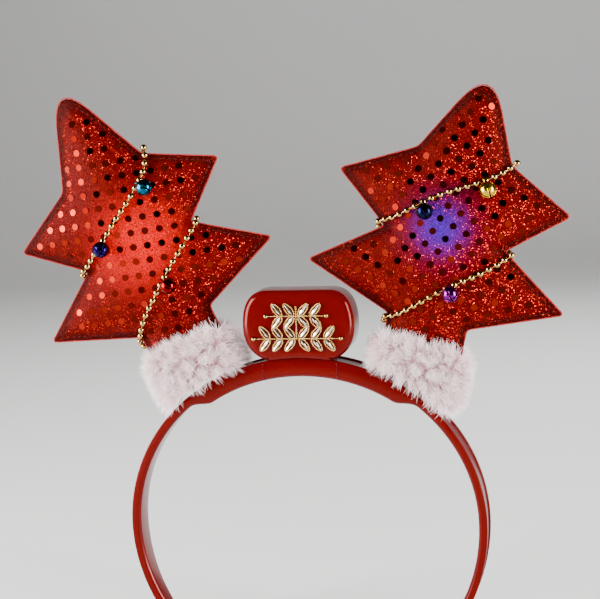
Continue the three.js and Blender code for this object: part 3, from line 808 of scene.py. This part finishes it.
def crown_marks_piece(balls, plastic):
    """Ends of the band's middle section: a fine moulded line with small pins on each side."""
    lines = []
    for way in (-1, 1):
        for face in (-1, 1):
            across = way * CROWN_MARK_SPAN
            low = band_top(across) - CROWN_THICKNESS + INNER_CHAMFER + 0.6
            high = band_top(across) - 1.2
            lines.append([(across, face * BAND_DEPTH / 2, z) for z in np.linspace(low, high, 9)])
    return grown("crown_marks", line_mesh("marks", lines), balls, pitch=2.6 * MM, ball_radius=0.55 * MM,
                 thread_radius=0.14 * MM, segments=10, rings=6, material=plastic)


# Trees

def tree_corners(tree):
    """Corners of a tree's outline, clockwise from its top, as (across, up, rounding)."""
    half = [
        (0, tree["top_corner"], TOP_ROUNDING), (UPPER_NOTCH_HALF_WIDTH, UPPER_NOTCH_HEIGHT, 2.5),
        (UPPER_HALF_WIDTH, UPPER_TIP_HEIGHT, 2.5), (LOWER_NOTCH_HALF_WIDTH, LOWER_NOTCH_HEIGHT, 2.0),
        (LOWER_HALF_WIDTH, LOWER_TIP_HEIGHT, 2.5), (TRUNK_HALF_WIDTH, TRUNK_TOP_HEIGHT, 2.0),
        (TRUNK_HALF_WIDTH, TRUNK_FOOT_HEIGHT, 1.5),
    ]
    other = [(-x, z, rounding) for x, z, rounding in reversed(half[1:])]
    return half + other


def drift(tree, up):
    """How far aside a tree's top is drawn, at a height above its seat."""
    return tree["top_drift"] * max(0, up - UPPER_TIP_HEIGHT) / (tree["top_corner"] - UPPER_TIP_HEIGHT)


def drifted(loop, tree):
    """The loop with the tree's top drawn to its outer side."""
    return np.array([(x + drift(tree, z), z) for x, z in loop])


def inside_points(loop, step, margin):
    """Staggered grid of points inside a loop, a margin away from it."""
    low, high = loop.min(axis=0), loop.max(axis=0)
    rows = np.arange(low[1], high[1], step * 0.866)
    grid = np.array([
        (x, z) for i, z in enumerate(rows) for x in np.arange(low[0] + (i % 2) * step / 2, high[0], step)
    ])
    a, b = loop, np.roll(loop, -1, axis=0)
    along = b - a
    crossing = (a[:, 1] > grid[:, None, 1]) != (b[:, 1] > grid[:, None, 1])
    height = np.where(along[:, 1] == 0, 1e-9, along[:, 1])
    at = a[:, 0] + (grid[:, None, 1] - a[:, 1]) / height * along[:, 0]
    inside = (crossing & (grid[:, None, 0] < at)).sum(axis=1) % 2 == 1
    share = np.clip(((grid[:, None] - a) * along).sum(2) / (along ** 2).sum(1), 0, 1)
    gap = np.linalg.norm(grid[:, None] - a - share[..., None] * along, axis=2).min(axis=1)
    return grid[inside & (gap > margin)]


def puffed_height(points, faces, rim_count):
    """How far a stuffed sheet that is sewn down round its rim stands up, from 0 to 1."""
    edges = np.array(sorted({tuple(sorted((f[i], f[i - 1]))) for f in faces for i in range(3)}))
    ends = np.concatenate([edges[:, 0], edges[:, 1]])
    others = np.concatenate([edges[:, 1], edges[:, 0]])
    count = np.bincount(ends, minlength=len(points))
    height = np.zeros(len(points))
    for _turn in range(3500):
        height = (np.bincount(ends, weights=height[others], minlength=len(points)) + 1) / count
        height[:rim_count] = 0
    return (height / height.max()) ** 0.5


def pillow_mesh(tree, side):
    """Two cloth sheets sewn together inside a flat lip and stuffed, with what the seam leaves free."""
    outer_corners = tree_corners(tree)
    outer, counts = rounded_loop(outer_corners)
    inner, _counts = rounded_loop(moved_in(outer_corners, SEAM_LIP_WIDTH), counts)
    outer, inner = drifted(outer, tree), drifted(inner, tree)
    rim = len(inner)
    spots = np.vstack([inner, inside_points(inner, CLOTH_STEP, 0.9)])
    loop_edges = [(i, (i + 1) % rim) for i in range(rim)]
    _flat, _edges, faces, origin, _oe, _of = delaunay_2d_cdt(
        [Vector(spot) for spot in spots], loop_edges, [], 1, 1e-5,
    )
    order = [ids[0] for ids in origin]
    faces = [tuple(order[i] for i in face) for face in faces]
    height = puffed_height(spots, faces, rim)
    full = TREE_THICKNESS / 2 * 0.97
    lip = SEAM_LIP_THICKNESS / 2
    stand = lip + (full - lip) * height
    total = len(spots)
    crimp = 0.18 * np.sin(np.arange(rim) * 0.9) + 0.1 * np.sin(np.arange(rim) * 2.3)
    points = [(x, way * y, z) for way in (-1, 1) for (x, z), y in zip(spots, stand)]
    points += [(x, way * 0.35 + c, z) for way in (-1, 1) for (x, z), c in zip(outer, crimp)]
    skin_faces = list(faces) + [tuple(total + i for i in reversed(face)) for face in faces]
    for i in range(rim):
        j = (i + 1) % rim
        a, b = 2 * total + i, 2 * total + j
        c, d = a + rim, b + rim
        skin_faces += [(i, j, b, a), (a, b, d, c), (c, d, total + j, total + i)]
    mesh = facing_out(mesh_of(f"tree_{side}", points, skin_faces))
    puff = mesh.attributes.new("puff", "FLOAT", "POINT")
    puff.data.foreach_set("value", np.concatenate([height, height, np.zeros(2 * rim)]).astype(np.float32))
    free = [i for i in range(2 * total) if height[i % total] > 0]
    return mesh, free, inner, outer


def stuffed(obj, free):
    """Presses the cloth out by its stuffing, with the seam held; run at ten times the size, then capped."""
    size, most = 10, 0.9 * MM
    start = np.zeros(len(obj.data.vertices) * 3)
    obj.data.vertices.foreach_get("co", start)
    start = start.reshape(-1, 3)
    obj.data.transform(Matrix.Scale(size, 4))
    seam = obj.vertex_groups.new(name="seam")
    held = sorted(set(range(len(start))) - set(free))
    seam.add(held, 1.0, "REPLACE")
    cloth = obj.modifiers.new("stuffing", "CLOTH")
    for name, value in {
        "quality": 6, "mass": 0.3, "tension_stiffness": 12, "compression_stiffness": 12,
        "shear_stiffness": 6, "bending_stiffness": 0.4, "use_pressure": True,
        "uniform_pressure_force": 4, "vertex_group_mass": "seam",
    }.items():
        setattr(cloth.settings, name, value)
    cloth.settings.effector_weights.gravity = 0
    cloth.collision_settings.use_collision = False
    cloth.point_cache.frame_start, cloth.point_cache.frame_end = 1, STUFFING_FRAMES
    for step in range(1, STUFFING_FRAMES + 1):
        bpy.context.scene.frame_set(step)
    finished(obj)
    obj.vertex_groups.clear()
    moved = np.zeros(len(start) * 3)
    obj.data.vertices.foreach_get("co", moved)
    shift = moved.reshape(-1, 3) / size - start
    far = np.linalg.norm(shift, axis=1, keepdims=True)
    shift *= np.minimum(1, most / np.maximum(far, 1e-9))
    obj.data.vertices.foreach_set("co", (start + shift).ravel())
    bpy.context.scene.frame_set(1)


def foil_dot_tree():
    """Foil dots in a square pattern, dropped on the front and the back of a stuffed tree."""
    net = Growth("foil dots", {
        "Pitch": 0.00665, "Turn": -0.35, "Dot Radius": 0.0015, "Dot Thickness": 0.00012,
        "Shift": (0.0, 0.0, 0.0), "Seed": 3,
    })
    given, count = net.given, 33
    reach = net.math("MULTIPLY", given["Pitch"], float(count - 1))
    lattice = net.out("Mesh", "GeometryNodeMeshGrid", {
        "Size X": reach, "Size Y": reach, "Vertices X": count, "Vertices Y": count,
    })
    turn = net.out("Vector", "ShaderNodeCombineXYZ", {"X": math.pi / 2, "Y": given["Turn"]})
    puff = net.out("Attribute", "GeometryNodeInputNamedAttribute", {"Name": "puff"}, data_type="FLOAT")
    faces = []
    for face in (-1, 1):
        start = net.vector("ADD", given["Shift"], (0.0, face * 0.03, 0.0))
        stood = net.out("Geometry", "GeometryNodeTransform", {
            "Geometry": lattice, "Translation": start, "Rotation": turn,
        })
        ray = net.add("GeometryNodeRaycast", {
            "Target Geometry": given["Geometry"], "Ray Direction": (0.0, -face, 0.0), "Ray Length": 0.06,
            "Attribute": puff,
        }, data_type="FLOAT").outputs
        hold = net.add("GeometryNodeCaptureAttribute", {
            "Geometry": net.out("Points", "GeometryNodeMeshToPoints", {"Mesh": stood}),
        })
        for name, kind in (("level", "FLOAT"), ("spot", "VECTOR"), ("facing", "VECTOR"), ("hit", "BOOLEAN")):
            hold.capture_items.new(kind, name)
        net.feed(hold, {
            "level": ray["Attribute"], "spot": ray["Hit Position"], "facing": ray["Hit Normal"],
            "hit": ray["Is Hit"],
        })
        held = hold.outputs
        low = net.out("Result", "FunctionNodeCompare", {"A": held["level"], "B": 0.16}, operation="LESS_THAN")
        missed = net.out("Boolean", "FunctionNodeBooleanMath", {0: held["hit"]}, operation="NOT")
        gone = net.out("Boolean", "FunctionNodeBooleanMath", {0: low, 1: missed}, operation="OR")
        kept = net.out("Geometry", "GeometryNodeDeleteGeometry", {
            "Geometry": held["Geometry"], "Selection": gone,
        })
        lift = net.vector("SCALE", held["facing"], 0.00012)
        laid = net.out("Geometry", "GeometryNodeSetPosition", {
            "Geometry": kept, "Position": net.vector("ADD", held["spot"], lift),
        })
        wobble = net.random("Value", given["Seed"], (-0.09,) * 3, (0.09,) * 3, "FLOAT_VECTOR")
        aim = net.out("Rotation", "FunctionNodeAlignRotationToVector", {
            "Vector": net.vector("ADD", held["facing"], wobble),
        }, axis="Z")
        dot = net.out("Mesh", "GeometryNodeMeshCylinder", {
            "Vertices": 14, "Radius": given["Dot Radius"], "Depth": given["Dot Thickness"],
        })
        faces.append(net.out("Geometry", "GeometryNodeStoreNamedAttribute", {
            "Geometry": net.spread(laid, dot, aim), "Name": "dot_tone",
            "Value": net.random(1, given["Seed"], 0.0, 1.0),
        }, data_type="FLOAT", domain="INSTANCE"))
    return net.all_of(faces)


def stitch_tree():
    """Stitches laid end to end along the edges of a mesh."""
    net = Growth("stitches", {"Pitch": 0.0026, "Stitch Length": 0.0019, "Thread Radius": 0.0002})
    _line, dots = net.spaced()
    bobbin = net.out("Mesh", "GeometryNodeMeshUVSphere", {"Segments": 6, "Rings": 5, "Radius": 1.0})
    size = net.out("Vector", "ShaderNodeCombineXYZ", {
        "X": net.given["Thread Radius"], "Y": net.given["Thread Radius"],
        "Z": net.math("MULTIPLY", net.given["Stitch Length"], 0.5),
    })
    return net.all_of([net.spread(dots["Points"], bobbin, dots["Rotation"], {"Scale": size})], smooth=True)


# Bead strings and bells

def catmull(points, t):
    """Point on a centripetal spline through points, t from 0 to 1 in even steps of points."""
    last = len(points) - 1
    at = min(int(t * last), last - 1)
    share = t * last - at
    p1, p2 = points[at], points[at + 1]
    p0 = points[at - 1] if at else p1 * 2 - p2
    p3 = points[at + 2] if at + 2 <= last else p2 * 2 - p1
    gaps = [max((b - a).length ** 0.5, 1e-4) for a, b in ((p0, p1), (p1, p2), (p2, p3))]
    start = ((p1 - p0) / gaps[0] - (p2 - p0) / (gaps[0] + gaps[1]) + (p2 - p1) / gaps[1]) * gaps[1]
    end = ((p2 - p1) / gaps[1] - (p3 - p1) / (gaps[1] + gaps[2]) + (p3 - p2) / gaps[2]) * gaps[1]
    s2, s3 = share ** 2, share ** 3
    return (p1 * (2 * s3 - 3 * s2 + 1) + start * (s3 - 2 * s2 + share)
            + p2 * (3 * s2 - 2 * s3) + end * (s3 - s2))


def string_line(tree, route, cloth):
    """The string's centre line: each place comes in from the front or back until a bead lies on the cloth."""
    plan = [Vector((across, 0, up)) for across, up, _face in route]
    reach = BEAD_RADIUS + STRING_GAP
    samples = 6
    steps = (len(route) - 1) * samples
    points, face = [], route[0][2]
    for i in range(steps + 1):
        point = catmull(plan, i / steps)
        point.z += LOWER_TIP_HEIGHT
        point.x += drift(tree, point.z)
        stop = route[i // samples]
        if i % samples == 0 and stop[2] == EDGE:
            face = route[i // samples + 1][2]
        else:
            point.y = face * TREE_THICKNESS
            room = TREE_THICKNESS
            while room > 0.01 and face * point.y > 0:
                room = cloth.find_nearest(point)[3] - reach
                point.y -= face * room
            if face * point.y < 0:
                point.y = 0
        points.append(point)
    line = [catmull(points, k / (10 * steps)) for k in range(10 * steps + 1)]
    run = np.concatenate([[0], np.cumsum([(b - a).length for a, b in zip(line, line[1:])])])
    beads = round(run[-1] / BEAD_PITCH)
    spread = np.array([tuple(point) for point in line])
    even = np.linspace(0, run[-1], beads * 4 + 1)
    return np.column_stack([np.interp(even, run, spread[:, axis]) for axis in range(3)])


def circle_point(step, count, radius=1.0):
    """Point on a circle, as two measures."""
    angle = 2 * math.pi * step / count
    return radius * math.cos(angle), radius * math.sin(angle)


def bell_mesh():
    """Round bell of two cups with a rim between them, slots in the lower one and a ring on top."""
    centre = BELL_WIRE_RADIUS / 2 - BELL_RING_RADIUS - BELL_RADIUS
    segments, steps, sides = 28, 18, 8
    profile = []
    for k in range(25):
        angle = math.pi * (k / 24 - 0.5)
        out, up = BELL_RADIUS * math.cos(angle), BELL_RADIUS * math.sin(angle)
        profile.append((max(out + (0.22 if abs(up) < 0.3 else 0), 0.02), up))
    inner = [(out * 0.9, up * 0.9) for out, up in reversed(profile) if abs(up) >= 0.3]
    shell = profile + [(0.02, profile[-1][1] - 0.2)] + inner[1:-1] + [(0.02, profile[0][1] + 0.2)]
    points = [(*circle_point(s, segments, out), centre + up) for out, up in shell for s in range(segments)]
    faces = loop_faces(len(shell), segments, joined=True)
    body = piece_of("bell", facing_out(mesh_of("bell", points, faces)))
    cutters = []
    half, reach, low, high = BELL_SLOT_WIDTH / 2, BELL_RADIUS + 0.95, -5, -1.5
    for turn in (0.0, math.pi / 2):
        corners = ((-half, low), (half, low), (half, high), (-half, high))
        slot_rings = [[(x, y, centre + z) for x, z in corners] for y in (-reach, reach)]
        cutter = piece_of("slot", skin("slot", slot_rings))
        cutter.data.transform(Matrix.Rotation(turn, 4, "Z"))
        cutters.append(cutter)
    carved(body, *cutters)
    ring = []
    for k in range(steps):
        for s in range(sides):
            out, across = circle_point(s, sides, BELL_WIRE_RADIUS)
            ring.append((across, *circle_point(k, steps, BELL_RING_RADIUS + out)))
    work = bmesh.new()
    work.from_mesh(body.data)
    work.from_mesh(mesh_of("bell ring", ring, loop_faces(steps, sides, joined=True)))
    bmesh.ops.recalc_face_normals(work, faces=work.faces)
    mesh = bpy.data.meshes.new("bell")
    work.to_mesh(mesh)
    work.free()
    bpy.data.objects.remove(body)
    mesh.shade_smooth()
    return mesh


def frame_of(across, back, up, origin):
    """Matrix from a frame with these axes and this origin."""
    turn = Matrix((across, back, up)).transposed().to_4x4()
    turn.translation = origin
    return turn


def bell_place(line, spec, cloth, down):
    """Where a bell's ring closes round the gap between two beads, as a matrix in the tree's frame."""
    gaps = line[2::4]
    want = np.array([spec["near"][0], spec["near"][1] + LOWER_TIP_HEIGHT])
    away = np.linalg.norm(gaps[:, (0, 2)] - want, axis=1) + np.where(gaps[:, 1] < 0, 0, 1000)
    at = int(away.argmin()) * 4 + 2
    tangent = Vector(line[at + 1] - line[at - 1]).normalized()
    point = Vector(line[at])
    normal = cloth.ray_cast(Vector((point.x, -TREE_THICKNESS, point.z)), Vector((0, 1, 0)))[1]
    off = (normal - tangent * normal.dot(tangent)).normalized()
    fall = off.cross(tangent).normalized()
    if fall.dot(down) < 0:
        fall.negate()
    lift = math.radians(spec["lift"])
    up = -(fall * math.cos(lift) + off * math.sin(lift))
    return frame_of(tangent, up.cross(tangent), up, point * MM)


# Fur cuffs

def oval(angle, half_width, half_depth):
    """Point on a rounded oval."""
    return tuple(half * math.copysign(abs(share) ** (2 / 3), share) for half, share in
                 ((half_width, math.cos(angle)), (half_depth, math.sin(angle))))


def oval_column(name, half_width, half_depth, levels):
    """Column with a rounded oval plan, from levels (height, how far it is drawn in there)."""
    sides = 64
    return piece_of(name, skin(name, [[
        (*oval(2 * math.pi * k / sides, half_width - inset, half_depth - inset), height) for k in range(sides)
    ] for height, inset in levels]))


def cuff_backing(tree, to_tree):
    """Cloth backing of a cuff: it closes round the trunk and ends just over the band."""
    curl = [(0, 2.6), (0.4, 1.6), (1.5, 0.5), (3, 0)]
    levels = [(rise - CUFF_DROP, inset) for rise, inset in curl]
    levels += [(level, 0) for level in (2, 5, 8, 11, 14)]
    levels += [(CUFF_HEIGHT - rise, inset) for rise, inset in reversed(curl)]
    backing = oval_column("cuff backing", CUFF_BACKING_HALF_WIDTH, CUFF_BACKING_HALF_DEPTH, levels)
    sleeve = oval_column("sleeve", TRUNK_HALF_WIDTH + 0.3, SLEEVE_HALF_DEPTH, [(-40, 0), (60, 0)])
    hem = arch_cutter(tree["fur_gap"])
    band = piece_of("band cutter", skin("band cutter", band_rings(BAND_GAP, steps=90)))
    for cutter in (hem, band):
        cutter.data.transform(to_tree)
    carved(backing, hem, band, sleeve)
    marks = backing.data.attributes.new("pile", "FLOAT", "FACE")
    for face in backing.data.polygons:
        x, y, z = face.center / MM
        reach = (abs(x) / CUFF_BACKING_HALF_WIDTH) ** 3 + (abs(y) / CUFF_BACKING_HALF_DEPTH) ** 3
        outer = reach > 0.75 and face.normal.z > -0.93
        top = face.normal.z > 0.6 and z > CUFF_HEIGHT - 3
        marks.data[face.index].value = 1.0 if outer or top else 0.0
    return backing


def fur_tree():
    """Pile on a backing: tapered curved hairs that lean together in tufts."""
    net = Growth("plush pile", {
        "Density": 6.6e6, "Hair Length": 0.0065, "Hair Radius": 0.00017, "Tuft Scale": 210.0, "Gather": 0.8,
        "Comb": (0.0, 0.0, -0.2), "Seed": 5,
    })
    given = net.given
    pile = net.out("Attribute", "GeometryNodeInputNamedAttribute", {"Name": "pile"}, data_type="FLOAT")
    roots = net.add("GeometryNodeDistributePointsOnFaces", {
        "Mesh": given["Geometry"], "Density": net.math("MULTIPLY", given["Density"], pile),
        "Seed": given["Seed"],
    }).outputs
    spot = net.out("Position", "GeometryNodeInputPosition")
    swirl = net.out("Color", "ShaderNodeTexNoise", {"Vector": spot, "Scale": 75.0, "Detail": 1.0})
    tuft = net.out("Position", "ShaderNodeTexVoronoi", {"Vector": spot, "Scale": given["Tuft Scale"]})
    aim = roots["Normal"]
    for part in (
        net.vector("SCALE", net.vector("SUBTRACT", swirl, (0.5, 0.5, 0.5)), 2.0),
        net.vector("SCALE", net.vector("SUBTRACT", tuft, spot),
                   net.math("DIVIDE", given["Gather"], given["Hair Length"])),
        net.random("Value", 11, (-0.12,) * 3, (0.12,) * 3, "FLOAT_VECTOR"),
        given["Comb"],
    ):
        aim = net.vector("ADD", aim, part)
    turned = net.out("Rotation", "FunctionNodeAlignRotationToVector", {"Vector": aim}, axis="Z")
    spun = net.out("Rotation", "FunctionNodeAxisAngleToRotation", {
        "Axis": (0.0, 0.0, 1.0), "Angle": net.random(1, 17, 0.0, 6.28),
    })
    rotation = net.out("Rotation", "FunctionNodeRotateRotation", {
        "Rotation": turned, "Rotate By": spun,
    }, rotation_space="LOCAL")
    hair = net.out("Mesh", "GeometryNodeMeshCone", {
        "Vertices": 3, "Side Segments": 2, "Radius Top": 0.0, "Radius Bottom": given["Hair Radius"],
        "Depth": given["Hair Length"],
    })
    # The tip share also sets the painted shade at the roots in the fur material.
    height = net.out("Z", "ShaderNodeSeparateXYZ", {"Vector": spot})
    share = net.math("DIVIDE", height, given["Hair Length"])
    tipped = net.out("Geometry", "GeometryNodeStoreNamedAttribute", {
        "Geometry": hair, "Name": "tip", "Value": share,
    }, data_type="FLOAT", domain="POINT")
    bow = net.math("MULTIPLY", net.math("MULTIPLY", height, share), 0.35)
    bowed = net.out("Geometry", "GeometryNodeSetPosition", {
        "Geometry": tipped, "Offset": net.out("Vector", "ShaderNodeCombineXYZ", {"X": bow}),
    })
    size = net.out("Vector", "ShaderNodeCombineXYZ", {"X": 1.0, "Y": 1.0, "Z": net.random(1, 23, 0.62, 1.12)})
    planted = net.spread(roots["Points"], bowed, rotation, {"Scale": size})
    return net.all_of([planted, given["Geometry"]])


# Stage, lights and camera

def make_stage():
    """Pale floor that curves up into a backdrop."""
    floor = cad_bounds[0][2] - 0.0005
    line = [(-1.6, floor), (1.2, floor)]
    bend = 0.8
    line += [(1.2 + bend * math.sin(a), floor + bend * (1 - math.cos(a))) for a in
             (math.pi / 2 * k / 16 for k in range(1, 17))]
    line.append((2.0, floor + 2.6))
    points = [(x, y, z) for y, z in line for x in (-3.0, 3.0)]
    faces = [(2 * i, 2 * i + 1, 2 * i + 3, 2 * i + 2) for i in range(len(line) - 1)]
    mesh = bpy.data.meshes.new("floor")
    mesh.from_pydata(points, [], faces)
    mesh.shade_smooth()
    piece_of("floor", mesh, pale_floor())


def soft_light(name, spot, aim, size, power, mirrored=True):
    """Rectangular light; one that isn't mirrored lights a piece but leaves no highlight on it."""
    light = bpy.data.lights.new(name, "AREA")
    light.shape = "RECTANGLE"
    light.size, light.size_y = size
    light.energy = power
    lamp = bpy.data.objects.new(name, light)
    lamp.location = spot
    lamp.rotation_euler = (Vector(aim) - Vector(spot)).to_track_quat("-Z", "Y").to_euler()
    lamp.visible_glossy = mirrored
    bpy.context.scene.collection.objects.link(lamp)


def make_lights():
    """Softboxes at both sides, soft fill from above, below and behind, and a dim studio."""
    soft_light("left softbox", (-0.8, -0.45, 0.08), (0, 0, 0.03), (0.5, 1.0), 52)
    soft_light("right softbox", (0.85, -0.28, 0.06), (0, 0, 0.03), (0.3, 0.8), 31)
    soft_light("top softbox", (0.0, -0.15, 0.9), (0, 0, 0), (0.9, 0.7), 5, mirrored=False)
    soft_light("low softbox", (0.0, -0.5, -0.06), (0, 0, -0.07), (0.8, 0.1), 1.5, mirrored=False)
    soft_light("back light", (0.2, 0.8, 0.6), (0, 0, 0.05), (0.7, 0.5), 9, mirrored=False)
    world = bpy.data.worlds.new("studio")
    world.use_nodes = True
    Wiring(world.node_tree).feed(world.node_tree.nodes["Background"], {
        "Color": (0.6, 0.6, 0.6, 1), "Strength": 0.08,
    })
    bpy.context.scene.world = world


def make_camera():
    """Camera at the photograph's angle, for a frame of 600 by 599."""
    azimuth, elevation, roll = math.radians(12), math.radians(8), math.radians(-2.5)
    distance, focal_px, width_px = 0.85, 1931.8, 600
    target = Vector((0.04, 0, 33.38)) * MM
    level = math.cos(elevation)
    back = Vector((math.sin(azimuth) * level, -math.cos(azimuth) * level, math.sin(elevation)))
    right = Vector((math.cos(azimuth), math.sin(azimuth), 0))
    up = back.cross(right)
    rolled_right = right * math.cos(roll) + up * math.sin(roll)
    rolled_up = up * math.cos(roll) - right * math.sin(roll)
    data = bpy.data.cameras.new("camera")
    data.sensor_width = 36
    data.lens = focal_px * 36 / width_px
    camera = bpy.data.objects.new("camera", data)
    camera.matrix_world = frame_of(rolled_right, rolled_up, back, target + back * distance)
    bpy.context.scene.collection.objects.link(camera)
    bpy.context.scene.camera = camera


# Assembly

def settle(piece, slot, *nodes):
    """Finished piece: it rides on the headband, and nodes it stands for are hidden; the slot is not used."""
    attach(piece, "root")
    if nodes:
        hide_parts(*nodes)


def tree_frame(tree):
    """Matrix from a tree's own frame to the headband's."""
    point, _normal = band_point(tree["seat_angle"])
    c, s = math.cos(tree["lean"]), math.sin(tree["lean"])
    return frame_of((c, 0, -s), (0, 1, 0), (s, 0, c), point * MM)


make_camera()
make_stage()
make_lights()

wear = surface_wear_group()
glitter = glitter_group()
plastic = red_plastic(wear)
gold = plated("gold plate", (0.6, 0.38, 0.12), (0.26, 0.14, 0.035), wear, 0.16)
silver = plated("bright ribs", (0.92, 0.88, 0.78), (0.7, 0.62, 0.5), wear, 0.15)
bead_gold = plated("bead gold", (0.58, 0.36, 0.11), (0.26, 0.14, 0.035), wear, 0.12)
dots_foil = foil_dots()
pile_white = white_fur()
seam_thread = thread("seam thread", (0.02, 0.0, 0.0), (0.09, 0.001, 0.001))
# The hem cord follows the real seam edge, but its pale red, much lighter than the cloth, is a painted
# highlight of light catching that edge.
hem_painted_highlight = thread("hem edge", (0.1, 0.001, 0.001), (0.42, 0.03, 0.028))
BELL_LACQUERS = {
    "bell_teal": ("teal_metal", (0.004, 0.12, 0.2), (0.001, 0.03, 0.06)),
    "bell_navy": ("navy_metal", (0.016, 0.004, 0.09), (0.004, 0.001, 0.025)),
    "bell_red": ("red_metal", (0.2, 0.0, 0.001), (0.07, 0.0, 0.0)),
    "bell_gold": ("gold_metal", (0.7, 0.46, 0.03), (0.35, 0.2, 0.01)),
    "bell_dark_blue": ("dark_blue_metal", (0.006, 0.007, 0.035), (0.002, 0.002, 0.01)),
    "bell_violet": ("violet_metal", (0.2, 0.004, 0.2), (0.07, 0.001, 0.08)),
}

settle(piece_of("band", skin("band", band_rings()), plastic), "red_plastic", "headband")
settle(piece_of("box", light_box_mesh(), plastic), "red_plastic", "light_box")

strung = strung_balls_tree()
sprigs, ends, ribs = ornament_pieces(strung, gold, silver)
settle(sprigs, "gold", "badge")
settle(ends, "gold")
settle(ribs, "gold")
settle(crown_marks_piece(strung, plastic), "red_plastic")

dot_tree = foil_dot_tree()
sewing = stitch_tree()
plush = fur_tree()
bell_shape = bell_mesh()

for side, tree in TREES.items():
    turn = tree_frame(tree)
    to_tree = turn.inverted()
    glow = turn @ Vector((tree["glow_at"][0] * MM, 0, tree["glow_at"][1] * MM))
    shape, free, seam, edge = pillow_mesh(tree, side)
    cloth = piece_of(f"cloth_{side}", shape, glitter_cloth(side, glitter, glow))
    stuffed(cloth, free)
    cloth.modifiers.new("smooth cloth", "SUBSURF").levels = 1
    cloth.modifiers["smooth cloth"].render_levels = 1
    finished(cloth)
    surface = BVHTree.FromPolygons(
        [vertex.co / MM for vertex in cloth.data.vertices],
        [tuple(face.vertices) for face in cloth.data.polygons],
    )
    dots = grown(f"foil_dots_{side}", cloth.data.copy(), dot_tree, pitch=DOT_PITCH * MM,
                 turn=tree["dot_turn"], dot_radius=DOT_RADIUS * MM,
                 shift=(tree["dot_at"][0] * MM, 0.0, tree["dot_at"][1] * MM), material=dots_foil)
    lines = [[(x, way * 0.75, z) for x, z in [*seam, seam[0]]] for way in (-1, 1)]
    stitches = grown(f"stitches_{side}", line_mesh("seam", lines), sewing, material=seam_thread)
    # Hem cord round the outer edge, in the pale thread that paints a highlight on it.
    hem = grown(f"hem_{side}", line_mesh("hem", [[(x, 0, z) for x, z in [*edge, edge[0]]]]), sewing,
                pitch=1.2 * MM, stitch_length=1.7 * MM, thread_radius=0.36 * MM, material=hem_painted_highlight)

    line = string_line(tree, STRING_ROUTES[side], surface)
    string = grown(f"beads_{side}", line_mesh("string", [[tuple(point) for point in line]]), strung,
                   pitch=BEAD_PITCH * MM, ball_radius=BEAD_RADIUS * MM, thread_radius=THREAD_RADIUS * MM,
                   segments=12, rings=8, material=bead_gold)
    down = to_tree.to_3x3() @ Vector((0, 0, -1))
    for name, spec in tree["bells"].items():
        slot, light, dark = BELL_LACQUERS[name]
        lacquer = plated(slot.replace("_", " "), light, dark, wear, 0.16)
        bell = piece_of(f"{name}_shell", bell_shape.copy(), lacquer)
        bell.data.transform(turn @ bell_place(line, spec, surface, down))
        settle(bell, slot, name)

    backing = cuff_backing(tree, to_tree)
    cuff = grown(f"fur_{side}", backing.data, plush, density=HAIRS_PER_SQUARE_MM / MM ** 2,
                 hair_length=FUR_LENGTH * MM, seed=tree["fur_seed"], material=pile_white)
    bpy.data.objects.remove(backing)

    for piece, slot, nodes in (
        (cloth, "sequin_cloth", [f"tree_{side}"]), (dots, "sequin_cloth", []),
        (stitches, "sequin_cloth", []), (hem, "sequin_cloth", []),
        (string, "gold_bead", [f"bead_string_{side}"]), (cuff, "white_fur", [f"fur_cuff_{side}"]),
    ):
        piece.data.transform(turn)
        settle(piece, slot, *nodes)
